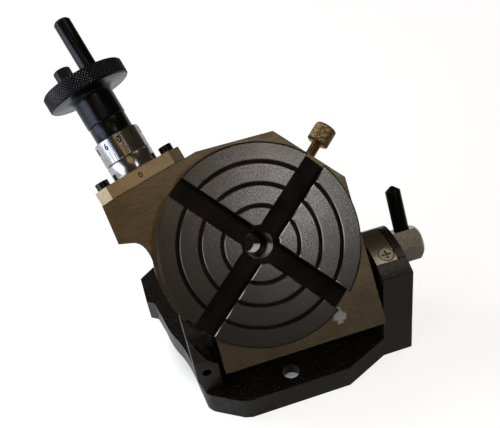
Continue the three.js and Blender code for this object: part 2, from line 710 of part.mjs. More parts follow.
function lockScrew() {
  const headStart = CORNER_DISTANCE + LOCK_OUT;
  const headEnd = headStart + LOCK_HEAD_LEN;
  const start = HUB_R + GAP + PAD_LEN + GAP;
  const body = turned(
    [
      [0, start],
      [LOCK_R, start],
      [LOCK_R, headStart],
      [LOCK_HEAD_R - 0.8, headStart],
      [LOCK_HEAD_R, headStart + 0.8],
      [LOCK_HEAD_R, headEnd - 0.8],
      [LOCK_HEAD_R - 0.8, headEnd],
      [0, headEnd],
    ],
  );
  const slot = block(-0.7, 0.7, -LOCK_HEAD_R - 1, LOCK_HEAD_R + 1, headEnd - 1.6, headEnd + 1);
  return body.subtract(slot);
}

piece(topFrame, 'lock_screw', moved(lockScrew(), LOCK_MATRIX), 'brass');
piece(topFrame, 'lock_pad', moved(rod(PAD_R, HUB_R + GAP, HUB_R + GAP + PAD_LEN), LOCK_MATRIX), 'brass');

// ---------------------------------------------------------------- table

function tableDisc() {
  const hubEnd = -DISC_T - HUB_LEN;
  const profile = [
    [0, -SPINDLE_END],
    [SPINDLE_R, -SPINDLE_END],
    [SPINDLE_R, hubEnd],
    [HUB_R, hubEnd],
    [HUB_R, -DISC_T],
    [DISC_R - RIM_CHAMFER, -DISC_T],
    [DISC_R, -DISC_T + RIM_CHAMFER],
    [DISC_R, -RIM_CHAMFER],
    [DISC_R - RIM_CHAMFER, 0],
  ];
  for (let i = RING_COUNT - 1; i >= 0; i -= 1) {
    const outer = RING_FIRST_R + i * RING_PITCH + RING_W / 2;
    const inner = outer - RING_W;
    profile.push([outer, 0], [outer, -RING_DEPTH], [inner, -RING_DEPTH], [inner, 0]);
  }
  profile.push([0, 0]);
  const body = turned(profile);
  const floor = SLOT_NECK + TEE_H;
  const slots = [];
  for (let i = 0; i < SLOT_COUNT; i += 1) {
    const turn = new THREE.Matrix4().makeRotationZ((i * 360 * DEG) / SLOT_COUNT);
    slots.push(moved(block(0, DISC_R + 5, -SLOT_W / 2, SLOT_W / 2, -floor, 1), turn));
    slots.push(moved(block(0, DISC_R + 5, -TEE_W / 2, TEE_W / 2, -floor, -SLOT_NECK), turn));
  }
  const smallR = MOUTH_R - TAPER_RATIO * (TAPER_DEPTH - floor);
  const bore = turned([
    [0, -SPINDLE_END - 1],
    [DRAW_R, -SPINDLE_END - 1],
    [DRAW_R, -TAPER_DEPTH],
    [smallR, -TAPER_DEPTH],
    [MOUTH_R, -floor],
    [COUNTERBORE_R, -floor],
    [COUNTERBORE_R, 1],
    [0, 1],
  ]);
  const taps = wheelScrewPlaces(rod(WHEEL_SCREW_R + GAP, hubEnd - 1, hubEnd + 6));
  return cut(body, ...slots, bore, ...taps);
}

function wheelScrewPlaces(tool) {
  return Array.from({ length: WHEEL_SCREWS }, (_, i) => {
    const turn = new THREE.Matrix4().makeRotationZ(((i + 0.5) * 360 * DEG) / WHEEL_SCREWS);
    return moved(tool, turn.multiply(shift(WHEEL_SCREW_CIRCLE, 0, 0)));
  });
}

// Worm wheel: straight-flanked teeth, slanted to the worm's lead.
function wormWheel() {
  const step = (2 * Math.PI) / WHEEL_TEETH;
  const halfAt = (r) => (PITCH / 2 - TOOTH_PLAY) / 2 + (WHEEL_PITCH_R - r) * Math.tan(20 * DEG);
  const tip = WHEEL_R - 0.1;
  const corners = [];
  for (let i = 0; i < WHEEL_TEETH; i += 1) {
    for (const [r, side] of [[WHEEL_ROOT_R, -1], [tip, -1], [tip, 1], [WHEEL_ROOT_R, 1]]) {
      const angle = (i + 0.5) * step + (side * halfAt(r)) / r;
      corners.push(new THREE.Vector2(r * Math.cos(angle), r * Math.sin(angle)));
    }
  }
  const shape = new THREE.Shape(corners);
  const options = { depth: WHEEL_FACE, bevelEnabled: false, steps: 2 };
  const geometry = new THREE.ExtrudeGeometry(shape, options).translate(0, 0, -WHEEL_FACE / 2);
  const place = geometry.attributes.position;
  for (let i = 0; i < place.count; i += 1) {
    const v = new THREE.Vector3().fromBufferAttribute(place, i);
    v.applyAxisAngle(new THREE.Vector3(0, 0, 1), (v.z * LEAD_TAN) / WHEEL_PITCH_R);
    place.setXYZ(i, v.x, v.y, v.z);
  }
  const turn = new THREE.Matrix4().makeRotationZ(Math.PI + WORM_ANGLE - SLOT_TURN);
  const toothed = moved(solid(geometry), turn.setPosition(0, 0, -WORM_DEPTH));
  const bore = rod(SPINDLE_R + GAP, WHEEL_BOTTOM - 1, WHEEL_TOP + 1);
  const holes = wheelScrewPlaces(rod(WHEEL_SCREW_R + GAP, WHEEL_BOTTOM - 1, WHEEL_TOP + 1));
  const heads = wheelScrewPlaces(rod(WHEEL_SCREW_R * 2 + GAP, WHEEL_BOTTOM - 1, WHEEL_BOTTOM + 4));
  return cut(toothed, bore, ...holes, ...heads);
}

function wheelScrew() {
  const shank = rod(WHEEL_SCREW_R, WHEEL_BOTTOM + 3, WHEEL_TOP + 5);
  const head = rod(WHEEL_SCREW_R * 2, WHEEL_BOTTOM + 0.6, WHEEL_BOTTOM + 4 - GAP);
  return join(shank, head).subtract(prism(hexagon(2.4), WHEEL_BOTTOM - 1, WHEEL_BOTTOM + 2.2));
}

piece(discFrame, 'table_disc', tableDisc(), 'machined');
piece(discFrame, 'worm_wheel', wormWheel(), 'bronze');
wheelScrewPlaces(wheelScrew()).forEach((screw, i) => {
  piece(discFrame, `wheel_screw_${i + 1}`, screw, 'blued');
});
piece(
  discFrame,
  'spindle_washer',
  tube(SPINDLE_R + GAP, 22, CRADLE_BOTTOM - GAP - 1.6, CRADLE_BOTTOM - GAP),
  'bright',
);

function spindleNut() {
  const top = CRADLE_BOTTOM - 2 * GAP - 1.6;
  const body = tube(SPINDLE_R + GAP, 20, -SPINDLE_END, top);
  const notch = block(-30, 30, -2, 2, -SPINDLE_END - 1, -SPINDLE_END + 2);
  const across = moved(notch, new THREE.Matrix4().makeRotationZ(Math.PI / 2));
  return cut(body, notch, across);
}

piece(discFrame, 'spindle_nut', spindleNut(), 'blued');

// ---------------------------------------------------------------- worm shaft, dial and handwheel

// Helix whose frames always look straight out from the axis.
class ThreadPath extends THREE.Curve {
  constructor(radius, pitch, start, turns) {
    super();
    Object.assign(this, { radius, pitch, start, turns });
  }

  getPoint(t, target = new THREE.Vector3()) {
    const a = 2 * Math.PI * this.turns * t;
    const rise = this.pitch * this.turns * t;
    return target.set(this.radius * Math.cos(a), this.radius * Math.sin(a), this.start + rise);
  }

  getPointAt(t, target) {
    return this.getPoint(t, target);
  }

  computeFrenetFrames(segments) {
    const tangents = [];
    const normals = [];
    const binormals = [];
    for (let i = 0; i <= segments; i += 1) {
      const a = (2 * Math.PI * this.turns * i) / segments;
      tangents.push(new THREE.Vector3(-Math.sin(a), Math.cos(a), 0));
      normals.push(new THREE.Vector3(Math.cos(a), Math.sin(a), 0));
      binormals.push(new THREE.Vector3(0, 0, 1));
    }
    return { tangents, normals, binormals };
  }
}

function wormThread() {
  const turns = 3.5;
  const inner = WORM_ROOT_R - WORM_PITCH_R - 0.4;
  const outer = WORM_R - WORM_PITCH_R - 0.1;
  const halfAt = (h) => (PITCH / 2 - TOOTH_PLAY) / 2 - h * Math.tan(20 * DEG);
  const section = new THREE.Shape();
  section.moveTo(inner, -halfAt(inner));
  section.lineTo(outer, -halfAt(outer));
  section.lineTo(outer, halfAt(outer));
  section.lineTo(inner, halfAt(inner));
  const options = {
    steps: Math.round(turns * 20),
    bevelEnabled: false,
    extrudePath: new ThreadPath(WORM_PITCH_R, PITCH, 0, turns),
  };
  return solid(new THREE.ExtrudeGeometry(section, options));
}

function wormShaft() {
  const collar = HOUSING_START - 3;
  const body = turned([
    [0, -6.6],
    [2.5, -6.6],
    [2.5, -0.4],
    [WORM_ROOT_R, -0.4],
    [WORM_ROOT_R, WORM_THREADED + 1],
    [SHAFT_R, WORM_THREADED + 2],
    [6.6, WORM_THREADED + 2],
    [6.6, collar],
    [SHAFT_R, collar],
    [SHAFT_R, SHAFT_END],
    [0, SHAFT_END],
  ]);
  const clip = rod(WORM_R + 1, -0.4, WORM_THREADED + 1);
  const threaded = body.add(wormThread().intersect(clip));
  const tap = rod(2.5, SHAFT_END - 11, SHAFT_END + 1);
  const half = KEY_W / 2 + GAP;
  const keyway = block(SHAFT_R - 1.4, SHAFT_R + 3, -half, half, KEY_START - GAP, KEY_END + GAP);
  return cut(threaded, tap, keyway);
}

function handwheel() {
  const face = HANDWHEEL_NEAR;
  const far = HANDWHEEL_FAR;
  const ease = 0.9;
  const recess = far - SCREW_RECESS;
  const profile = [
    [SHAFT_R + RUN, SLEEVE_START],
    [HUB_SLEEVE_R, SLEEVE_START],
    [HUB_SLEEVE_R, face - 3],
    [HUB_SLEEVE_R + 1, face - 1],
    [HUB_SLEEVE_R + 3.5, face],
    [HANDWHEEL_R - ease, face],
    [HANDWHEEL_R, face + ease],
    [HANDWHEEL_R, far - ease],
    [HANDWHEEL_R - ease, far],
    [SCREW_RECESS_R, far],
    [SCREW_RECESS_R, recess],
    [2.5, recess],
    [2.5, recess - HANDWHEEL_WEB],
    [SHAFT_R + RUN, recess - HANDWHEEL_WEB],
  ];
  const body = turned(profile);
  const half = KEY_W / 2 + GAP;
  const keyway = block(0, SHAFT_R + 1.9, -half, half, SLEEVE_START - 1, KEY_END + GAP);
  const crank = moved(rod(CRANK_PIN_R + GAP, face + 1.5, far + 1), crankPlace(1));
  const hex = moved(rod(CAP_R + GAP, face + 2, far + 1), crankPlace(-1));
  return cut(body, keyway, crank, hex);
}

// Crank on one side of the handwheel's face, hexagon stud on the other.
function crankPlace(side) {
  const r = side * CRANK_CIRCLE;
  return shift(r * Math.cos(CRANK_ANGLE), r * Math.sin(CRANK_ANGLE), 0);
}

function crankSleeve() {
  const start = HANDWHEEL_FAR + GAP;
  const end = start + CRANK_LEN;
  return turned(
    [
      [CRANK_PIN_R + RUN, start],
      [CRANK_R, start],
      [CRANK_R, end - 1.2],
      [CRANK_R - 1.2, end],
      [CRANK_PIN_R + RUN + 0.8, end],
      [CRANK_PIN_R + RUN, end - 1],
    ],
  );
}

function crankPin() {
  const end = HANDWHEEL_FAR + GAP + CRANK_LEN;
  const slot = block(-0.4, 0.4, -3, 3, end - 1.4, end);
  return rod(CRANK_PIN_R, HANDWHEEL_NEAR + 2, end - 0.4).subtract(slot);
}

function hexStud() {
  const start = HANDWHEEL_FAR + GAP;
  const top = start + HEX_H;
  const r = HEX_FLATS / Math.sqrt(3);
  const head = prism(hexagon(HEX_FLATS), start, top);
  const ease = turned([
    [0, start - 1],
    [r + 1, start - 1],
    [r + 1, top - 1.3],
    [r - 0.9, top],
    [0, top],
  ]);
  return join(head.intersect(ease), rod(CAP_R, HANDWHEEL_NEAR + 2.5, start + 1));
}

function wheelRetainer() {
  const seat = HANDWHEEL_FAR - SCREW_RECESS + GAP;
  const head = rod(SCREW_RECESS_R - 0.4, seat, seat + 2.4);
  const shank = rod(2.2, SHAFT_END - 9, seat + 1);
  return join(head, shank).subtract(prism(hexagon(3), seat + 0.8, seat + 4));
}

// Grub screws of the lock ring look out to the front left.
const GRUB_OUT = new THREE.Vector3(-0.93, -0.37, 0).normalize();
const GRUB_FOOT = new THREE.Vector3(0, 0, RING_START + RING_LEN / 2);
const GRUB_PLACE = facing(GRUB_OUT, new THREE.Vector3(0, 0, 1), GRUB_FOOT);

function lockRing() {
  const body = turned([
    [SHAFT_R + RUN, RING_START],
    [RING_R, RING_START],
    [RING_R, RING_END - 0.4],
    [RING_R - 0.4, RING_END],
    [SHAFT_R + RUN, RING_END],
  ]);
  return body.subtract(moved(rod(GRUB_R + GAP, 0, RING_R + 2), GRUB_PLACE));
}

function grubScrew() {
  const body = rod(GRUB_R, SHAFT_R + RUN + 0.2, RING_R - 0.6);
  return moved(body.subtract(prism(hexagon(1.5), RING_R - 2.2, RING_R)), GRUB_PLACE);
}

function dial() {
  return turned([
    [SHAFT_R + RUN, DIAL_START],
    [COLLAR_R, DIAL_START],
    [COLLAR_R, DIAL_END - 0.5],
    [COLLAR_R - 0.5, DIAL_END],
    [8, DIAL_END],
    [8, DIAL_END - 2],
    [SHAFT_R + RUN, DIAL_END - 2],
  ]);
}

piece(wormFrame, 'worm_shaft', wormShaft(), 'bright');
piece(
  wormFrame,
  'worm_thrust_washer',
  tube(SHAFT_R + RUN, 9, HOUSING_START - 3 + GAP, HOUSING_START - GAP),
  'bronze',
);
piece(wormFrame, 'graduated_dial', dial(), 'bright');
piece(wormFrame, 'dial_spring', tube(SHAFT_R + RUN, 7.6, DIAL_END - 2 + GAP, DIAL_END - GAP), 'blued');
piece(wormFrame, 'dial_lock_ring', lockRing(), 'blued');
piece(wormFrame, 'dial_grub_screw', grubScrew(), 'bright');
piece(wormFrame, 'handwheel', handwheel(), 'blued');
piece(
  wormFrame,
  'handwheel_key',
  block(SHAFT_R - 1.1, SHAFT_R + 1.6, -KEY_W / 2, KEY_W / 2, KEY_START, KEY_END),
  'bright',
);
piece(wormFrame, 'handwheel_screw', wheelRetainer(), 'blued');
piece(wormFrame, 'crank_pin', moved(crankPin(), crankPlace(1)), 'bright');
piece(wormFrame, 'crank_handle', moved(crankSleeve(), crankPlace(1)), 'blued');
piece(wormFrame, 'hex_stud', moved(hexStud(), crankPlace(-1)), 'blued');

// ---------------------------------------------------------------- tilt clamp

function clampNut() {
  const r = NUT_FLATS / Math.sqrt(3);
  const flatsUp = new THREE.Matrix4().makeRotationZ(BAR_LEAN);
  const body = moved(prism(hexagon(NUT_FLATS), NUT_START, NUT_END), flatsUp);
  const ease = turned([
    [0, NUT_START - 1],
    [r + 1, NUT_START - 1],
    [r + 1, NUT_END - 3],
    [r - 2.2, NUT_END],
    [0, NUT_END],
  ]);
  const bore = rod(STUD_R + RUN, NUT_START - 1, NUT_START + NUT_BORE);
  return cut(body.intersect(ease), bore, moved(rod(BAR_R + GAP, 1.4 - GAP, 20), barPlace()));
}

// The bar stands square on one of the nut's flats; the clamp is drawn about +Z, with +Y up.
function barPlace() {
  const out = new THREE.Vector3(Math.sin(BAR_LEAN), Math.cos(BAR_LEAN), 0);
  return facing(out, new THREE.Vector3(0, 0, 1), new THREE.Vector3(0, 0, BAR_X));
}

function tommyBar() {
  return turned([[0, 1.4], [BAR_R, 1.4], [BAR_R, BAR_LEN - BAR_POINT], [0.6, BAR_LEN], [0, BAR_LEN]]);
}

const clampFrame = new THREE.Group();
clampFrame.position.z = AXIS_H;
table.add(clampFrame);

const clampWasher = tube(STUD_R + RUN, 9, RIGHT_OUTER + GAP, RIGHT_OUTER + GAP + WASHER_T);
piece(clampFrame, 'clamp_washer', alongX(clampWasher), 'bright');
piece(clampFrame, 'clamp_nut', alongX(clampNut()), 'bright');
piece(clampFrame, 'tommy_bar', alongX(moved(tommyBar(), barPlace())), 'blued');

export default table;
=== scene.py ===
"""Looks of the tilting rotary table: finishes, knurls, threads, graduations and the camera and light."""

import json
import math

import bmesh
import bpy
import numpy as np
from mathutils import Matrix, Vector

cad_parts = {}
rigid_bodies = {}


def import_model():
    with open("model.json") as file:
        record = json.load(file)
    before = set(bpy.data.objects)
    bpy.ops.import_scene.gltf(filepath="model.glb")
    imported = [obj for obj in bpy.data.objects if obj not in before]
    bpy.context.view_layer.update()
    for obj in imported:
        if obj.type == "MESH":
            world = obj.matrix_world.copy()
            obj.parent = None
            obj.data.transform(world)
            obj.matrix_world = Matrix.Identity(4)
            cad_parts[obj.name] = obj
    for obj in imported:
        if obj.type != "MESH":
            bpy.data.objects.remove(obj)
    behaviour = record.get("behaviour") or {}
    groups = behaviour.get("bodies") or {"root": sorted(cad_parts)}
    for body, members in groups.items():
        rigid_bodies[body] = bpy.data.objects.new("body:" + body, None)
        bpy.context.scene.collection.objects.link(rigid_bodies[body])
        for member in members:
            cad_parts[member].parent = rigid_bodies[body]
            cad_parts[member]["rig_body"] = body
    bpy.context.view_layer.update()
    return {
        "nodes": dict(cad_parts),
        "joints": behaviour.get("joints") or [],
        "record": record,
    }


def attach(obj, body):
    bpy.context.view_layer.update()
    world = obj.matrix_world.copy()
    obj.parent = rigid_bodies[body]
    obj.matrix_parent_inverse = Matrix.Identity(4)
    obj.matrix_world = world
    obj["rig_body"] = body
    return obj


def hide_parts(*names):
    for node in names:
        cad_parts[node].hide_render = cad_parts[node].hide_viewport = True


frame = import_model()
JOINTS = {j["name"]: j for j in frame["joints"]}
NODES = frame["nodes"]
MM = 0.001

# ---------------------------------------------------------------- camera

CAMERA_AT = Vector((-0.0539, -0.2679, 0.3195))
CAMERA_TO = Vector((0.0079, 0.0472, 0.0600))
CAMERA_ROLL = math.radians(9.0)
CAMERA_LENS = 52.6


def add_camera():
    """Camera at CAMERA_AT looking at CAMERA_TO, its up direction leant to its right by CAMERA_ROLL."""
    ahead = (CAMERA_TO - CAMERA_AT).normalized()
    right = ahead.cross(Vector((0, 0, 1))).normalized()
    up = right.cross(ahead)
    up = up * math.cos(CAMERA_ROLL) + right * math.sin(CAMERA_ROLL)
    right = ahead.cross(up)
    data = bpy.data.cameras.new("camera")
    data.lens = CAMERA_LENS
    data.sensor_width = 36
    data.clip_start = 0.01
    camera = bpy.data.objects.new("camera", data)
    bpy.context.scene.collection.objects.link(camera)
    turn = Matrix((right, up, -ahead)).transposed().to_4x4()
    camera.matrix_world = Matrix.Translation(CAMERA_AT) @ turn
    bpy.context.scene.camera = camera


add_camera()

# ---------------------------------------------------------------- frames of the moving parts


def axes_frame(origin, z, x_hint):
    """4x4 of a frame with its Z along z and its X as near as possible to x_hint, in metres."""
    z = Vector(z).normalized()
    y = z.cross(Vector(x_hint)).normalized()
    x = y.cross(z)
    return Matrix.Translation(Vector(origin)) @ Matrix((x, y, z)).transposed().to_4x4()


TABLE_AXIS = Vector(JOINTS["table_spin"]["axis"])
TABLE = axes_frame(JOINTS["table_spin"]["pos_m"], TABLE_AXIS, (1, 0, 0))
SLOT_TURN = math.radians(40.3)
DISC = TABLE @ Matrix.Rotation(SLOT_TURN, 4, "Z")
WORM_AXIS = Vector(JOINTS["worm_spin"]["axis"])
WORM = axes_frame(JOINTS["worm_spin"]["pos_m"], WORM_AXIS, WORM_AXIS.cross(TABLE_AXIS))
CRANK = axes_frame(JOINTS["crank_turn"]["pos_m"], WORM_AXIS, WORM_AXIS.cross(TABLE_AXIS))
LOCK = axes_frame(JOINTS["lock_turn"]["pos_m"], JOINTS["lock_turn"]["axis"], TABLE_AXIS)
TILT_AT = Vector(JOINTS["clamp_turn"]["pos_m"])
BAR_LEAN = math.radians(30.0)
BAR_X = 0.0801
BAR = axes_frame(TILT_AT + Vector((BAR_X, 0, 0)), (0, math.sin(BAR_LEAN), math.cos(BAR_LEAN)), (1, 0, 0))


def span(node, at, beyond=0.0):
    """Lowest and highest Z of a CAD node in the frame at, in mm.

    Only its points further than beyond, in mm, from that frame's Z axis count.
    """
    turn = at.inverted() @ NODES[node].matrix_world
    points = np.array([turn @ v.co for v in NODES[node].data.vertices]) / MM
    z = points[np.hypot(points[:, 0], points[:, 1]) >= beyond, 2]
    return float(z.min()), float(z.max())


# ---------------------------------------------------------------- materials


def linear(hex_code):
    """sRGB hex to a linear RGBA colour."""
    parts = [int(hex_code[i : i + 2], 16) / 255 for i in (1, 3, 5)]
    return [c / 12.92 if c <= 0.04045 else ((c + 0.055) / 1.055) ** 2.4 for c in parts] + [1.0]


def add_node(tree, kind, inputs=(), **settings):
    """Adds a node, sets its properties, and sets or links its inputs: {name or index: value or socket}."""
    node = tree.nodes.new(kind)
    for key, value in settings.items():
        setattr(node, key, value)
    for key, value in dict(inputs).items():
        if isinstance(value, bpy.types.NodeSocket):
            tree.links.new(value, node.inputs[key])
        else:
            node.inputs[key].default_value = value
    return node


def fine_grain(tree, coords, size_mm, detail=3.0, rough=0.6):
    """Noise whose grains are about size_mm across."""
    scale = 1.0 / (size_mm * MM)
    inputs = {"Vector": coords, "Scale": scale, "Detail": detail, "Roughness": rough}
    return add_node(tree, "ShaderNodeTexNoise", inputs).outputs["Fac"]


def remap(tree, value, low, high, to_low, to_high):
    """Value from low..high to to_low..to_high, held at the ends."""
    inputs = {"Value": value, "From Min": low, "From Max": high, "To Min": to_low, "To Max": to_high}
    return add_node(tree, "ShaderNodeMapRange", inputs).outputs["Result"]


def blend_colours(tree, factor, a, b):
    """Colour a where factor is 0 and b where it is 1."""
    return add_node(tree, "ShaderNodeMix", {0: factor, 6: a, 7: b}, data_type="RGBA").outputs[2]


def local_coords(tree, coords, at):
    """Coordinates measured in the frame at."""
    inputs = {"Vector": coords, "Location": at.translation, "Rotation": at.to_euler()}
    return add_node(tree, "ShaderNodeMapping", inputs, vector_type="TEXTURE").outputs["Vector"]


def turned_marks(tree, coords, at, pitch_mm):
    """Noise in rings about the Z axis of the frame at: each tool mark is about pitch_mm wide."""
    local = local_coords(tree, coords, at)
    split = add_node(tree, "ShaderNodeSeparateXYZ", {0: local})
    flat = add_node(tree, "ShaderNodeCombineXYZ", {0: split.outputs[0], 1: split.outputs[1]})
    length = add_node(tree, "ShaderNodeVectorMath", {0: flat.outputs[0]}, operation="LENGTH")
    polar = {0: length.outputs["Value"], 2: split.outputs[2]}
    rings = add_node(tree, "ShaderNodeCombineXYZ", polar).outputs[0]
    return fine_grain(tree, rings, pitch_mm, detail=2.0)


def milled_marks(tree, coords, at, pitch_mm):
    """Noise drawn out 30 times along the frame's X axis, as a cutter's passes leave it."""
    inputs = {"Vector": local_coords(tree, coords, at), "Scale": (1 / 30, 1, 1)}
    drawn = add_node(tree, "ShaderNodeMapping", inputs).outputs["Vector"]
    return fine_grain(tree, drawn, pitch_mm, detail=3.0)


PATCH_MM = 15
MARK_EDGE_GRAIN_MM = 4
MARK_ROUGH = 0.6
COAT_ROUGH = 0.25


def add_flecks(tree, coords, colour, painted_glints):
    """The colour with painted glints: pale specks, a (colour, size in mm, threshold from 0 to 1) of noise
    peaks, painted on as highlights.
    """
    glint_colour, size_mm, threshold = painted_glints
    grain = fine_grain(tree, coords, size_mm, detail=1.0)
    shown = remap(tree, grain, threshold, threshold + 0.05, 0, 1)
    return blend_colours(tree, shown, colour, linear(glint_colour))


def add_scuff(tree, coords, colour, roughness, white_mark):
    """Colour and roughness with one pale patch, a (colour, place in mm, reach in mm).

    The patch is where the distance to its place, plus twice its reach times noise, stays below a limit,
    which gives it a ragged edge.
    """
    mark_colour, place_mm, reach_mm = white_mark
    reach = reach_mm * MM
    to_place = {0: coords, 1: Vector(place_mm) * MM}
    away = add_node(tree, "ShaderNodeVectorMath", to_place, operation="DISTANCE").outputs["Value"]
    ragged = {0: fine_grain(tree, coords, MARK_EDGE_GRAIN_MM, detail=5.0), 1: 2 * reach, 2: away}
    edge = add_node(tree, "ShaderNodeMath", ragged, operation="MULTIPLY_ADD").outputs[0]
    in_mark = remap(tree, edge, 1.65 * reach, 1.8 * reach, 1, 0)
    colour = blend_colours(tree, in_mark, colour, linear(mark_colour))
    return colour, remap(tree, in_mark, 0, 1, roughness, MARK_ROUGH)


def finish(
    name,
    light,
    dark,
    metal,
    rough,
    grain_mm,
    bump_mm,
    marks=None,
    coat=0.0,
    painted_glints=None,
    patch=0.6,
    white_mark=None,
):
    """A surface whose colour runs from dark to light with its grain and, by patch, with wide patches.

    rough is the (low, high) roughness, marks a function giving tool marks from the coordinates,
    painted_glints what add_flecks takes and white_mark what add_scuff takes.
    """
    material = bpy.data.materials.new(name)
    material.use_nodes = True
    tree = material.node_tree
    shader = tree.nodes["Principled BSDF"]
    coords = add_node(tree, "ShaderNodeTexCoord").outputs["Object"]
    grain = fine_grain(tree, coords, grain_mm)
    mottled = {0: fine_grain(tree, coords, PATCH_MM, detail=2.0), 1: patch, 2: grain}
    tone = add_node(tree, "ShaderNodeMath", mottled, operation="MULTIPLY_ADD").outputs[0]
    middle = 0.5 + 0.5 * patch
    if marks is not None:
        lines = marks(tree, coords)
        tone = add_node(tree, "ShaderNodeMath", {0: tone, 1: lines}, operation="ADD").outputs[0]
        tone = remap(tree, tone, middle + 0.2, middle + 0.8, 0, 1)
    else:
        lines = grain
        tone = remap(tree, tone, middle - 0.25, middle + 0.25, 0, 1)
    colour = blend_colours(tree, tone, linear(dark), linear(light))
    if painted_glints is not None:
        colour = add_flecks(tree, coords, colour, painted_glints)
    roughness = remap(tree, tone, 0, 1, rough[1], rough[0])
    if white_mark is not None:
        colour, roughness = add_scuff(tree, coords, colour, roughness, white_mark)
    tree.links.new(colour, shader.inputs["Base Color"])
    tree.links.new(roughness, shader.inputs["Roughness"])
    height = add_node(tree, "ShaderNodeMath", {0: lines, 1: grain}, operation="ADD").outputs[0]
    bump = add_node(tree, "ShaderNodeBump", {"Height": height, "Distance": bump_mm * MM, "Strength": 1.0})
    tree.links.new(bump.outputs["Normal"], shader.inputs["Normal"])
    shader.inputs["Metallic"].default_value = metal
    shader.inputs["Coat Weight"].default_value = coat
    shader.inputs["Coat Roughness"].default_value = COAT_ROUGH
    return material


def about(at, pitch_mm):
    """Marks of a lathe tool about the frame's axis."""
    return lambda tree, coords: turned_marks(tree, coords, at, pitch_mm)


def along(at, pitch_mm):
    """Marks of a milling cutter along the frame's X axis."""
    return lambda tree, coords: milled_marks(tree, coords, at, pitch_mm)


# Grey cast iron, ground flat: an even satin grey with a fine open grain, here drawn at 0.5 mm.
GROUND_IRON = finish("ground_cast_iron", "#8b8780", "#5b5751", 0.9, (0.2, 0.29), 0.35, 0.006, patch=0.25)
# The same iron in the slots and grooves, milled and unpolished: painted near black as the shade that falls
# in them, with pale specks painted on as glints.
SLOT_SHADE_IRON = finish(
    "slot_iron_painted_shade", "#2a211a", "#0d0a08", 0.5, (0.34, 0.6), 0.6, 0.04, painted_glints=("#8a8073", 0.5, 0.76)
)
# The taper, reamed and oiled: glossy, and painted dark as the shade inside the bore.
BORE_SHADE_IRON = finish("bore_iron_painted_shade", "#5a5854", "#3a3835", 0.9, (0.12, 0.22), 0.4, 0.004)
# Cast iron cradle, milled and oiled: a warm olive grey with short scratches, and a near-white patch in one
# place beside the table's rim.
WHITE_MARK_PLACE = (30.4, -29.9, 43.3)
CRADLE_IRON = finish(
    "milled_cast_iron_warm",
    "#a69679",
    "#7a6a51",
    0.85,
    (0.3, 0.42),
    0.7,
    0.006,
    marks=along(TABLE, 0.5),
    white_mark=("#fbfbf8", WHITE_MARK_PLACE, 4.5),
)
# Worm flange, milled steel: warmer, and paler as painted reflected light, with fine cutter lines along the
# flange.
FLANGE_STEEL_PAINTED_PALE = finish(
    "milled_steel_warm_painted_pale", "#eadbb8", "#b7a37c", 0.9, (0.26, 0.4), 0.5, 0.008, marks=along(WORM, 0.4)
)
# Machine enamel over a rough casting: nearly black, satin, with pale specks painted on as the glints of its
# rough grain.
BASE_PAINT = finish(
    "machine_enamel_black",
    "#201e1b",
    "#0f0e0c",
    0.0,
    (0.22, 0.4),
    1.5,
    0.2,
    coat=0.5,
    painted_glints=("#c2b89e", 0.55, 0.7),
)
# Turned free-cutting steel: bright, with tight tool rings about the worm axis.
TURNED_STEEL = finish(
    "turned_steel", "#cfcfce", "#a5a5a4", 1.0, (0.14, 0.24), 0.4, 0.003, marks=about(WORM, 0.25)
)
# The nut and plate are milled steel with a broader sheen.
MILLED_STEEL = finish("milled_steel", "#c8c4b8", "#918c80", 1.0, (0.22, 0.38), 0.5, 0.008)
# Black oxide on turned steel: blue-black, oiled, with a narrow bright sheen.
BLACK_OXIDE = finish(
    "black_oxide_steel", "#3a3c41", "#1f2023", 0.85, (0.2, 0.34), 0.5, 0.006, marks=about(WORM, 0.3)
)
# The same steel where the oxide has worn off the knurl's points.
WORN_OXIDE = finish("worn_oxide_steel", "#a4a6a8", "#6d6f72", 1.0, (0.2, 0.34), 0.4, 0.004)
# Brass, turned and knurled: yellow, darker in the knurl's grooves.
BRASS = finish("turned_brass", "#d2b686", "#9b8156", 1.0, (0.2, 0.34), 0.4, 0.006, marks=about(LOCK, 0.25))
# Bearing bronze: redder and duller than the brass.
BRONZE = finish("bearing_bronze", "#a87b4a", "#7d5830", 1.0, (0.3, 0.45), 0.5, 0.01)
# Black filler wiped into engraved marks: flat and dull.
FILLER = finish("engraving_filler", "#161616", "#0a0a0a", 0.0, (0.6, 0.75), 0.3, 0.004)

# ---------------------------------------------------------------- meshes


def grid_faces(rows, cols, wrap_rows=False, wrap_cols=False):
    """Quads of a grid of points stored row by row; wrapped directions join their last line to the first."""
    i, j = np.meshgrid(np.arange(rows - (not wrap_rows)), np.arange(cols - (not wrap_cols)), indexing="ij")
    a, b = i * cols + j, i * cols + (j + 1) % cols
    c, d = ((i + 1) % rows) * cols + (j + 1) % cols, ((i + 1) % rows) * cols + j
    return np.stack([a, b, c, d], -1).reshape(-1, 4)


def build(name, parts, at, materials, body, slot, replaces=(), sharp=32):
    """Joins (points in mm, quads, material number) parts, closes their seams and puts them in a frame."""
    points, quads, numbers, base = [], [], [], 0
    for p, q, number in parts:
        p = p.reshape(-1, 3)
        points.append(p)
        quads.append(q + base)
        numbers.append(np.full(len(q), number) if np.isscalar(number) else number)
        base += len(p)
    mesh = bpy.data.meshes.new(name)
    mesh.from_pydata((np.concatenate(points) * MM).tolist(), [], np.concatenate(quads).tolist())
    mesh.polygons.foreach_set("material_index", np.concatenate(numbers).astype(np.int32))
    close_up(mesh, sharp)
    mesh.transform(at)
    return place(name, mesh, materials, body, slot, replaces)


def close_up(mesh, sharp):
    """Merges doubled points, drops faces without area, turns faces out and smooths below sharp degrees."""
    work = bmesh.new()
    work.from_mesh(mesh)
    bmesh.ops.remove_doubles(work, verts=work.verts, dist=2e-6)
    bmesh.ops.dissolve_degenerate(work, edges=work.edges, dist=1e-7)
    bmesh.ops.recalc_face_normals(work, faces=work.faces)
    work.to_mesh(mesh)
    work.free()
    smooth(mesh, sharp)


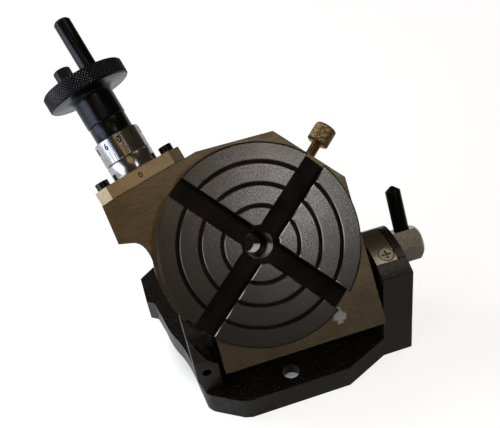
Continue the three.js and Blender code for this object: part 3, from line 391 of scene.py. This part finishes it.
def smooth(mesh, sharp):
    """Smooth faces with edges above sharp degrees kept sharp."""
    mesh.polygons.foreach_set("use_smooth", np.ones(len(mesh.polygons), bool))
    mesh.set_sharp_from_angle(angle=math.radians(sharp))


def place(name, mesh, materials, body, slot, replaces):
    """Makes the mesh a piece that rides on a body."""
    for material in materials:
        mesh.materials.append(material)
    piece = bpy.data.objects.new(name, mesh)
    bpy.context.scene.collection.objects.link(piece)
    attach(piece, body)
    if replaces:
        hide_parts(*replaces)
    return piece


def eased(profile, size=0.3):
    """Profile of [radius, height] points, each corner cut back by size in two steps as if deburred."""
    points = np.array(profile, float)
    out = []
    for before, here, after in zip(np.roll(points, 1, 0), points, np.roll(points, -1, 0)):
        to_before, to_after = before - here, after - here
        reach = min(size, 0.45 * np.linalg.norm(to_before), 0.45 * np.linalg.norm(to_after))
        if here[0] < 1e-9 or reach < 1e-6:
            out.append(here)
            continue
        first = here + to_before / np.linalg.norm(to_before) * reach
        last = here + to_after / np.linalg.norm(to_after) * reach
        out += [first, 0.25 * first + 0.5 * here + 0.25 * last, last]
    return np.array(out)


def revolve(profile, steps=128, closed=False):
    """Points and quads of the profile carried round Z: (r cos a, r sin a, z) at each angle a."""
    a = np.linspace(0, 2 * math.pi, steps, endpoint=False)[:, None]
    r, z = np.asarray(profile, float).T
    points = np.stack([r * np.cos(a), r * np.sin(a), z + 0 * a], -1)
    return points, grid_faces(steps, len(r), True, closed)


def turned_piece(name, profile, at, material, body, slot, replaces=(), size=0.3, closed=False, steps=128):
    """A body of revolution with eased edges."""
    points, quads = revolve(eased(profile, size), steps, closed)
    return build(name, [(points, quads, 0)], at, [material], body, slot, replaces)


def knurl(angle, height, count, pitch, depth):
    """Depth of a diamond knurl: two families of V grooves, count round the rim.

    They cross every pitch of height, and the deeper one of the two counts.
    """
    u, v = angle * count / (2 * math.pi), height / pitch
    one = np.abs(2 * ((u + v) % 1) - 1)
    two = np.abs(2 * ((u - v) % 1) - 1)
    return depth * np.maximum(one, two)


def knurled(profile, band, count, pitch, depth, rows, steps):
    """Profile carried round Z, with rows of knurl cut into the band (its radius, low and high height)."""
    radius, low, high = band
    heights = np.linspace(low, high, rows)
    start = next(i for i, p in enumerate(profile) if abs(p[0] - radius) < 1e-6 and abs(p[1] - low) < 1e-6)
    filled = profile[: start + 1] + [(radius, h) for h in heights[1:-1]] + profile[start + 1 :]
    whole = np.array(filled, float)
    a = np.linspace(0, 2 * math.pi, steps, endpoint=False)[:, None]
    r, z = whole.T
    inside = (np.abs(r - radius) < 1e-6) & (z >= low - 1e-6) & (z <= high + 1e-6)
    r = r - np.where(inside, knurl(a, z - low, count, pitch, depth), 0)
    points = np.stack([r * np.cos(a), r * np.sin(a), z + 0 * a], -1)
    return points, grid_faces(steps, len(z), True, False)


def dressed(node, material, width_mm=0.25, sharp=35, holes=()):
    """A copy of a CAD node, its facets merged, its edges broken by a small bevel and its rounds smooth.

    Edges within the reach of a hole, given as (x, y, z, reach) in mm, stay as they are.
    """
    source = NODES[node]
    mesh = source.data.copy()
    mesh.materials.clear()
    work = bmesh.new()
    work.from_mesh(mesh)
    bmesh.ops.remove_doubles(work, verts=work.verts, dist=2e-6)
    bmesh.ops.dissolve_limit(work, angle_limit=math.radians(0.6), verts=work.verts, edges=work.edges)
    edges = [e for e in work.edges if e.is_manifold and e.calc_face_angle(0) > math.radians(sharp)]
    for *centre, reach in holes:
        centre = Vector(centre) * MM
        edges = [e for e in edges if ((e.verts[0].co + e.verts[1].co) / 2 - centre).length > reach * MM]
    if width_mm > 0:
        cut = {"offset": width_mm * MM, "segments": 2, "profile": 0.5, "clamp_overlap": True}
        bmesh.ops.bevel(work, geom=edges, affect="EDGES", **cut)
    bmesh.ops.remove_doubles(work, verts=work.verts, dist=1e-6)
    work.to_mesh(mesh)
    work.free()
    smooth(mesh, sharp)
    slot = next(s["material_slot"] for s in frame["record"]["subparts"] if s["node"] == node)
    piece = place(node + "_finished", mesh, [material], source["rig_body"], slot, [node])
    keep_flats(piece)
    return piece


def keep_flats(piece):
    """Normals weighted by face area, so that flat faces stay flat beside their broken edges."""
    weigh = piece.modifiers.new("weigh", "WEIGHTED_NORMAL")
    weigh.keep_sharp = True
    split = piece.modifiers.new("split", "TRIANGULATE")
    split.min_vertices = 5
    split.keep_custom_normals = True
    settle(piece)


def settle(piece):
    """Applies the piece's modifiers to its mesh."""
    bpy.context.view_layer.update()
    result = bpy.data.meshes.new_from_object(piece.evaluated_get(bpy.context.evaluated_depsgraph_get()))
    piece.modifiers.clear()
    piece.data = result


# ---------------------------------------------------------------- table disc

DISC_R = 50.0
DISC_T = 11.3
COUNTERBORE_R = 9.3
MOUTH_R = 7.2
TAPER_END = 32
TAPER_END_R = 6.61
DRAW_R = 4.5
HUB_R = 26
HUB_END = 18.7
SPINDLE_R = 15
SPINDLE_END = 56
RINGS = [18.8 + 10.7 * k for k in range(3)]
RING_HALF = 0.85
RING_DEPTH = 1.4
NECK_HALF = 5.35
TEE_HALF = 8.5
NECK_DEPTH = 4.3
FLOOR_DEPTH = 8.5
EDGE = 0.42
RIM_EDGE = 0.9
UNDER_EDGE = 0.5
ACROSS_STEPS = 41
# The second and third materials paint the shade that falls in the slots, grooves and bore.
IRON, SLOT_SHADE, BORE_SHADE = range(3)


def quadrant():
    """One raised quarter of the table top, between two slots.

    A point is (r, a) with a between asin(w / r) and 90 degrees less that, which makes both slot edges
    straight. Its top follows the ring grooves' profile in r, its underside steps up at the tee.
    """
    stations = [(COUNTERBORE_R, -EDGE), (COUNTERBORE_R + EDGE, 0), (12.0, 0), (12.05, 0)]
    for c in RINGS:
        w = RING_HALF
        stations += [(c - w - EDGE, 0), (c - w, -EDGE), (c - w + 0.02, -RING_DEPTH)]
        stations += [(c + w - 0.02, -RING_DEPTH), (c + w, -EDGE), (c + w + EDGE, 0)]
    stations += [(DISC_R - RIM_EDGE, 0), (DISC_R, -RIM_EDGE)]
    r, top = np.array(stations).T
    neck = np.arcsin(NECK_HALF / r)
    tee = np.arcsin(np.minimum(TEE_HALF / r, math.sqrt(0.5)))
    inner = neck + EDGE / r
    share = np.linspace(0, 1, ACROSS_STEPS)[None, :]
    middle = tee[:, None] + (math.pi / 2 - 2 * tee)[:, None] * share
    lip = [neck, inner, (inner + tee) / 2, tee]
    angle = np.column_stack(lip + [middle] + [math.pi / 2 - x for x in lip[::-1]])
    count = angle.shape[1]
    high = np.repeat(top[:, None], count, 1)
    high[:, [0, -1]] = np.minimum(high[:, [0, -1]], -EDGE)
    low = np.full_like(high, -NECK_DEPTH)
    deep = np.where(tee < math.pi / 4 - 1e-6, -FLOOR_DEPTH, -NECK_DEPTH)
    low[:, len(lip) : -len(lip)] = deep[:, None]
    x, y = r[:, None] * np.cos(angle), r[:, None] * np.sin(angle)
    above, below = np.stack([x, y, high], -1), np.stack([x, y, low], -1)
    # Faces in the ring grooves, the slot walls and the underside take the material painted near black as
    # shade.
    in_ring = (high[:-1] < -0.5 * RING_DEPTH) | (high[1:] < -0.5 * RING_DEPTH)
    skin = np.where(in_ring[:, :-1], SLOT_SHADE, IRON).ravel()
    parts = [(above, grid_faces(*high.shape), skin), (below, grid_faces(*high.shape), SLOT_SHADE)]
    for column in (0, -1):
        wall = np.stack([above[:, column], below[:, column]], 1)
        parts.append((wall, grid_faces(len(r), 2), SLOT_SHADE))
    for row, number in ((0, SLOT_SHADE), (-1, IRON)):
        wall = np.stack([above[row], below[row]], 1)
        parts.append((wall, grid_faces(count, 2), number))
    return parts


def table_disc():
    """Four quadrants standing on a turned body: slot floor, rim, hub, spindle and tapered bore."""
    parts = []
    for k in range(4):
        c, s = math.cos(k * math.pi / 2), math.sin(k * math.pi / 2)
        turn = np.array([[c, s, 0], [-s, c, 0], [0, 0, 1]])
        parts += [(p @ turn, q, n) for p, q, n in quadrant()]
    floor, foot = -FLOOR_DEPTH, -DISC_T
    body = [(MOUTH_R, floor), (DISC_R, floor), (DISC_R, foot + UNDER_EDGE), (DISC_R - UNDER_EDGE, foot)]
    body += [(HUB_R, foot), (HUB_R, -HUB_END), (SPINDLE_R, -HUB_END), (SPINDLE_R, -SPINDLE_END)]
    bore_from = len(body)
    body += [(DRAW_R, -SPINDLE_END), (DRAW_R, -TAPER_END), (TAPER_END_R, -TAPER_END)]
    points, quads = revolve(body, 256, True)
    station = quads[:, 0] % len(body)
    # The slot floor and the bore take the materials painted dark as shade.
    numbers = np.where(station == 0, SLOT_SHADE, np.where(station >= bore_from, BORE_SHADE, IRON))
    parts.append((points, quads, numbers))
    skins = [GROUND_IRON, SLOT_SHADE_IRON, BORE_SHADE_IRON]
    return build("table_top", parts, DISC, skins, "table", "table_iron", ["table_disc"], sharp=28)


table_disc()

# ---------------------------------------------------------------- collar, dial and lock ring

COLLAR_R = 12.3
COLLAR_AT = span("index_collar", WORM)
DIAL_AT = span("graduated_dial", WORM)
RING_AT = span("dial_lock_ring", WORM)
SLEEVE_AT = span("handwheel", WORM)[0]
WHEEL_AT = span("handwheel", WORM, 20.5)
COLLAR_BORE_R = 8.8
SHAFT_HOLE = 5.3
TICKS = 40
TICKS_PER_NUMBER = 4
TICK_HALF = 0.11
TICK_DEPTH = 0.2
SHORT_TICK = 4.4
LONG_TICK = 5.8
END_LINE = 0.05
DIAL_EDGE = 0.3
DIAL_END_EDGE = 0.5
RECESS_R = 8
RECESS_DEPTH = 2
RING_R = 10.1
NUMERAL_H = 3.6
NUMERAL_T = 0.12
NUMERAL_AT = 8.9
ZERO_AT = math.radians(-90)


def ring_profile(inner, outer, ends):
    """Section of a plain ring: a rectangle from the inner to the outer radius between two heights."""
    low, high = ends
    return [(inner, low), (outer, low), (outer, high), (inner, high)]


def collar_piece():
    """A plain ring about the worm axis with eased edges."""
    profile = ring_profile(COLLAR_BORE_R, COLLAR_R, COLLAR_AT)
    place_in = ("cradle", "bright_steel", ["index_collar"])
    turned_piece("index_collar_turned", profile, WORM, TURNED_STEEL, *place_in, closed=True)


def dial_piece():
    """Drum with a tick every 9 degrees, each a square groove; the ticks at the numbers are longer."""
    low, high = DIAL_AT
    rises = [DIAL_EDGE + END_LINE, SHORT_TICK, SHORT_TICK + END_LINE, LONG_TICK, LONG_TICK + END_LINE]
    outer = [(COLLAR_R - DIAL_EDGE, low), (COLLAR_R, low + DIAL_EDGE)]
    outer += [(COLLAR_R, low + rise) for rise in rises]
    outer += [(COLLAR_R, high - DIAL_END_EDGE), (COLLAR_R - DIAL_END_EDGE, high)]
    recess = high - RECESS_DEPTH
    profile = [(SHAFT_HOLE, low)] + outer + [(RECESS_R, high), (RECESS_R, recess), (SHAFT_HOLE, recess)]
    r, z = np.array(profile).T
    step = 2 * math.pi / TICKS
    half = TICK_HALF / COLLAR_R
    offsets = np.array([-half - 1e-3, -half, 0, half, half + 1e-3, 0.25 * step, 0.5 * step, 0.75 * step])
    a = (np.arange(TICKS)[:, None] * step + offsets).ravel() + ZERO_AT
    cut = np.tile(np.abs(offsets) <= half + 1e-9, TICKS)
    numbered = np.repeat(np.arange(TICKS) % TICKS_PER_NUMBER == 0, len(offsets))
    reach = low + np.where(numbered, LONG_TICK, SHORT_TICK) + END_LINE / 2
    depth = TICK_DEPTH * (cut[:, None] & (r > COLLAR_R - 0.01) & (z <= reach[:, None]))
    rr = r - depth
    points = np.stack([rr * np.cos(a)[:, None], rr * np.sin(a)[:, None], z + 0 * rr], -1)
    quads = grid_faces(len(a), len(r), True, True)
    dark = (depth.ravel()[quads] > 0).all(1).astype(int)
    skins = [TURNED_STEEL, FILLER]
    place_in = ("dial", "dial_steel", ["graduated_dial"])
    build("dial_drum", [(points, quads, dark)], WORM, skins, *place_in, sharp=28)


def glyph(text, height_mm, thick_mm):
    """Flat outline letters as points in mm centred on the origin, height_mm tall, with their faces."""
    curve = bpy.data.curves.new("glyph", "FONT")
    curve.body = text
    curve.extrude = 0.5
    curve.offset = 0.025
    curve.resolution_u = 6
    holder = bpy.data.objects.new("glyph", curve)
    bpy.context.scene.collection.objects.link(holder)
    mesh = bpy.data.meshes.new_from_object(holder.evaluated_get(bpy.context.evaluated_depsgraph_get()))
    points = np.zeros(len(mesh.vertices) * 3, np.float32)
    mesh.vertices.foreach_get("co", points)
    points = points.reshape(-1, 3).astype(float)
    faces = [list(p.vertices) for p in mesh.polygons]
    bpy.data.objects.remove(holder)
    bpy.data.curves.remove(curve)
    bpy.data.meshes.remove(mesh)
    low, high = points.min(0), points.max(0)
    points = (points - (low + high) / 2) * (height_mm / (high[1] - low[1]))
    points[:, 2] = np.sign(points[:, 2]) * thick_mm / 2
    return points, faces


def numerals(name, texts, at, wrap, body, slot):
    """Letters laid by the function wrap, which takes (index, points) to points in the frame at."""
    mesh = bpy.data.meshes.new(name)
    points, faces, base = [], [], 0
    for i, text in enumerate(texts):
        p, f = glyph(text, NUMERAL_H, NUMERAL_T)
        points.append(wrap(i, p))
        faces += [[v + base for v in face] for face in f]
        base += len(p)
    mesh.from_pydata((np.concatenate(points) * MM).tolist(), [], faces)
    close_up(mesh, 30)
    mesh.transform(at)
    return place(name, mesh, [FILLER], body, slot, [])


NUMERAL_SQUEEZE = 0.82


def round_dial(i, p):
    """Wraps a numeral on the drum, its top towards the table: x runs round the drum and y down the axis."""
    radius = COLLAR_R + p[:, 2] + 0.005
    a = ZERO_AT + i * TICKS_PER_NUMBER / TICKS * 2 * math.pi - p[:, 0] * NUMERAL_SQUEEZE / COLLAR_R
    return np.column_stack([radius * np.cos(a), radius * np.sin(a), DIAL_AT[0] + NUMERAL_AT - p[:, 1]])


FLANGE_TOP = -14.0
FLANGE_ZERO_AT = 58.8
FLANGE_ZERO_SQUEEZE = (0.8, 0.85)


def on_flange(i, p):
    """Lays a numeral on the flange's upper face, across the worm axis."""
    wide, tall = FLANGE_ZERO_SQUEEZE
    return np.column_stack([p[:, 0] * wide, FLANGE_TOP - p[:, 2], FLANGE_ZERO_AT + p[:, 1] * tall])


def lock_ring():
    """A plain ring on the worm shaft with eased edges."""
    profile = ring_profile(SHAFT_HOLE, RING_R, RING_AT)
    place_in = ("worm", "black_oxide", ["dial_lock_ring"])
    turned_piece("lock_ring_turned", profile, WORM, BLACK_OXIDE, *place_in, closed=True)


collar_piece()
dial_piece()
lock_ring()
DIGITS = [str(k) for k in range(TICKS // TICKS_PER_NUMBER)]
numerals("dial_numerals", DIGITS, WORM, round_dial, "dial", "dial_steel")
numerals("flange_zero", ["0"], WORM, on_flange, "cradle", "machined_iron")

# ---------------------------------------------------------------- handwheel and crank

WHEEL_R = 21.9
RIM_BEVEL = 0.9
WHEEL_KNURL = {"count": 80, "pitch": 1.7, "depth": 0.42, "rows": 33, "steps": 800}
WORN_DEPTH = 0.13


def handwheel():
    """Hub, flare and rim, turned; the rim carries a diamond knurl, worn bright at its points."""
    near, far = WHEEL_AT
    low, high = near + RIM_BEVEL, far - RIM_BEVEL
    flare = [(10.5, near - 3.4), (10.75, near - 2.1), (11.4, near - 1.0), (12.5, near - 0.3), (14, near)]
    profile = [(0, SLEEVE_AT), (10.2, SLEEVE_AT), (10.5, SLEEVE_AT + 0.3)] + flare
    profile += [(WHEEL_R - 0.95, near), (WHEEL_R - 0.8, near + 0.05), (WHEEL_R, low), (WHEEL_R, high)]
    profile += [(WHEEL_R - 0.8, far - 0.05), (WHEEL_R - 0.95, far)]
    profile += [(5.2, far), (5, far - 0.2), (5, far - 3), (0, far - 3)]
    points, quads = knurled(profile, (WHEEL_R, low, high), **WHEEL_KNURL)
    radius = np.hypot(points[..., 0], points[..., 1]).ravel()[quads]
    worn = (radius.mean(1) > WHEEL_R - WORN_DEPTH).astype(int)
    skins = [BLACK_OXIDE, WORN_OXIDE]
    place_in = ("worm", "black_oxide", ["handwheel"])
    build("handwheel_knurled", [(points, quads, worn)], WORM, skins, *place_in, sharp=40)


def crank_handle():
    """A tube about the crank pin, its far end coned and its bore countersunk."""
    low, high = span("crank_handle", CRANK)
    profile = [(2.6, low), (4.65, low), (4.65, high - 1.2), (3.45, high), (3.2, high), (2.6, high - 1)]
    place_in = ("crank", "black_oxide", ["crank_handle"])
    turned_piece("crank_sleeve", profile, CRANK, BLACK_OXIDE, *place_in, size=0.25, closed=True)


handwheel()
crank_handle()

# ---------------------------------------------------------------- lock screw


FOOT_AT = span("lock_screw", LOCK)[0]
HEAD_AT = span("lock_screw", LOCK, 4.0)
HEAD_R = 5.9
HEAD_BEVEL = 0.8
HEAD_KNURL = {"count": 42, "pitch": 0.9, "depth": 0.3, "rows": 61, "steps": 420}
HEAD_SHARP = 38
SHANK_R = 2.7
THREAD_PITCH = 0.8
THREAD_DEPTH = 0.32
DRIVER_SLOT = (1.3, 20, 3)


def lock_screw():
    """Knurled head on a threaded shank; the thread's depth rises and falls with height less angle."""
    start, end = HEAD_AT
    low, high = start + HEAD_BEVEL, end - HEAD_BEVEL
    profile = [(0, FOOT_AT)] + [(SHANK_R, z) for z in np.arange(FOOT_AT, start, 0.1)]
    profile += [(SHANK_R, start), (4.9, start), (5.1, start + 0.1), (HEAD_R, low)]
    profile += [(HEAD_R, high), (5.1, end - 0.1), (4.9, end), (0, end)]
    points, quads = knurled(profile, (HEAD_R, low, high), **HEAD_KNURL)
    z = points[..., 2]
    r = np.hypot(points[..., 0], points[..., 1])
    angle = np.arctan2(points[..., 1], points[..., 0])
    thread = np.abs(2 * ((z / THREAD_PITCH - angle / (2 * math.pi)) % 1) - 1) * THREAD_DEPTH
    shank = (z > FOOT_AT + 0.05) & (z < start - 0.4) & (r > 2)
    points[..., :2] *= np.where(shank, 1 - thread / SHANK_R, 1)[..., None]
    place_in = ("lock", "brass", ["lock_screw"])
    screw = build("lock_screw_knurled", [(points, quads, 0)], LOCK, [BRASS], *place_in, sharp=HEAD_SHARP)
    cut_driver_slot(screw, end)


def cut_driver_slot(screw, end):
    """Cuts a box of DRIVER_SLOT's sides, in mm, across the head's end."""
    slot_box = bmesh.new()
    bmesh.ops.create_cube(slot_box, size=1)
    bmesh.ops.scale(slot_box, vec=[side * MM for side in DRIVER_SLOT], verts=slot_box.verts)
    bmesh.ops.translate(slot_box, vec=(0, 0, end * MM), verts=slot_box.verts)
    mesh = bpy.data.meshes.new("slot_cutter")
    slot_box.to_mesh(mesh)
    slot_box.free()
    mesh.transform(LOCK)
    cutter = bpy.data.objects.new("slot_cutter", mesh)
    bpy.context.scene.collection.objects.link(cutter)
    cut = screw.modifiers.new("slot", "BOOLEAN")
    cut.object = cutter
    cut.operation = "DIFFERENCE"
    settle(screw)
    smooth(screw.data, HEAD_SHARP)
    bpy.data.objects.remove(cutter)


lock_screw()

# ---------------------------------------------------------------- tommy bar


TOMMY_R = 4.1
TOMMY_POINT = 2.6


def tommy_bar():
    """A rod with eased edges and a cone at its free end."""
    low, high = span("tommy_bar", BAR)
    profile = [(0, low), (TOMMY_R, low), (TOMMY_R, high - TOMMY_POINT), (0.6, high), (0, high)]
    place_in = ("clamp", "black_oxide", ["tommy_bar"])
    turned_piece("tommy_bar_turned", profile, BAR, BLACK_OXIDE, *place_in, size=0.25)


tommy_bar()

# ---------------------------------------------------------------- CAD pieces with their finishes

# Holes of the base, as (x, y, z, reach): the left upright's tapped hole and the two bolt holes.
TAPPED_HOLE = (-41.2, -26.5, 28.6, 3.2)
BOLT_HOLES = [(1.2, y, 13.8, 5.5) for y in (-30.2, 74)]
dressed("base_casting", BASE_PAINT, 1.5, 30, [TAPPED_HOLE, *BOLT_HOLES])
dressed("cradle_casting", CRADLE_IRON, 0.35, 30)
dressed("worm_housing", FLANGE_STEEL_PAINTED_PALE, 0.3)
dressed("clamp_nut", MILLED_STEEL, 0.3, 25)
dressed("index_plate", MILLED_STEEL, 0.2)
dressed("hex_stud", BLACK_OXIDE, 0.25, 25)
for screw in ("flange_screw_left", "flange_screw_right"):
    dressed(screw, BLACK_OXIDE, 0.2)
# Small and inner pieces, which take a narrower bevel.
PLAIN = {
    "index_plate_screw": MILLED_STEEL,
    "pivot_pin": MILLED_STEEL,
    "pivot_bush": BRONZE,
    "pivot_washer": MILLED_STEEL,
    "clamp_side_washer": MILLED_STEEL,
    "clamp_stud": MILLED_STEEL,
    "clamp_washer": MILLED_STEEL,
    "spindle_bush": BRONZE,
    "spindle_washer": MILLED_STEEL,
    "spindle_nut": BLACK_OXIDE,
    "worm_wheel": BRONZE,
    "worm_shaft": TURNED_STEEL,
    "worm_thrust_washer": BRONZE,
    "lock_pad": BRASS,
    "dial_spring": BLACK_OXIDE,
    "dial_grub_screw": MILLED_STEEL,
    "handwheel_key": MILLED_STEEL,
    "handwheel_screw": BLACK_OXIDE,
    "crank_pin": MILLED_STEEL,
}
PLAIN |= {f"wheel_screw_{k}": BLACK_OXIDE for k in range(1, 5)}
for node, material in PLAIN.items():
    dressed(node, material, 0.12)

# ---------------------------------------------------------------- floor, light and background


def add_floor():
    """Plain pale floor: a matt sheet that glows, though it is no lamp, less in reflections than straight to
    the camera.

    In reflections the glow rises from front to back, a painted reflection of light on the floor behind.
    Straight to the camera it is dim under the object, a painted shadow where light hardly comes.
    """
    paper = bpy.data.materials.new("pale_floor")
    paper.use_nodes = True
    tree = paper.node_tree
    shader = tree.nodes["Principled BSDF"]
    shader.inputs["Base Color"].default_value = linear("#dcdcda")
    shader.inputs["Roughness"].default_value = 0.9
    shader.inputs["Specular IOR Level"].default_value = 0.0
    shader.inputs["Emission Color"].default_value = linear("#ffffff")
    coords = add_node(tree, "ShaderNodeTexCoord").outputs["Object"]
    back = add_node(tree, "ShaderNodeSeparateXYZ", {0: coords}).outputs[1]
    beside = {0: coords, 1: (0.0, 0.02, 0.0)}
    away = add_node(tree, "ShaderNodeVectorMath", beside, operation="DISTANCE").outputs["Value"]
    # Painted shadow: straight to the camera the glow is 0.15 within 42 mm of a point under the object,
    # rising to full beyond 58 mm.
    plain = remap(tree, away, 0.042, 0.058, 0.15, 0.82)
    # Painted reflected light: in reflections the glow rises towards the back.
    painted_reflected_glow = remap(tree, back, -0.06, 0.14, 0.0, 0.5)
    direct = add_node(tree, "ShaderNodeLightPath").outputs["Is Camera Ray"]
    both = {"Value": direct, "To Min": painted_reflected_glow, "To Max": plain}
    glow = add_node(tree, "ShaderNodeMapRange", both).outputs["Result"]
    tree.links.new(glow, shader.inputs["Emission Strength"])
    mesh = bpy.data.meshes.new("floor")
    reach = 6.0
    corners = [(-reach, -reach, 0), (reach, -reach, 0), (reach, reach, 0), (-reach, reach, 0)]
    mesh.from_pydata(corners, [], [(0, 1, 2, 3)])
    mesh.materials.append(paper)
    floor = bpy.data.objects.new("floor", mesh)
    bpy.context.scene.collection.objects.link(floor)
    floor.visible_diffuse = False


def add_light(name, direction, distance, size, power, colour):
    """Soft rectangular light in a direction from the middle of the object, facing it."""
    data = bpy.data.lights.new(name, "AREA")
    data.shape = "RECTANGLE"
    data.size, data.size_y = size
    data.energy = power
    data.color = linear(colour)[:3]
    light = bpy.data.objects.new(name, data)
    bpy.context.scene.collection.objects.link(light)
    middle = Vector((0, 0.01, 0.07))
    at = middle + Vector(direction).normalized() * distance
    light.matrix_world = Matrix.Translation(at) @ (middle - at).to_track_quat("-Z", "Y").to_matrix().to_4x4()


ROOM = (0.036, 0.027, 0.019, 1.0)


def add_world():
    """White behind the object; a dim warm room everywhere else."""
    world = bpy.data.worlds.new("studio")
    world.use_nodes = True
    tree = world.node_tree
    background = tree.nodes["Background"]
    direct = add_node(tree, "ShaderNodeLightPath").outputs["Is Camera Ray"]
    tree.links.new(blend_colours(tree, direct, ROOM, linear("#ffffff")), background.inputs["Color"])
    bpy.context.scene.world = world


add_floor()
add_world()
add_light("window", (-0.9, -0.2, 0.19), 1.1, (1.1, 0.6), 5.2, "#e8f0ff")
add_light("skylight", (-0.6, 0.45, 0.66), 1.2, (0.5, 0.5), 3.4, "#f4f8ff")
add_light("lamp", (0.227, -0.743, 0.629), 1.2, (0.14, 0.18), 0.36, "#f6f8ff")
add_light("tube", (0.26, -0.62, 0.75), 1.2, (0.06, 0.1), 0.07, "#fff4e0")
add_light("warm_wall", (-0.15, -0.58, 0.8), 1.2, (0.5, 0.4), 0.27, "#ffd29a")
add_light("overhead", (0.33, 0.05, 0.94), 1.3, (0.6, 0.6), 1.1, "#fff4e4")
bpy.context.scene.view_settings.view_transform = "Standard"
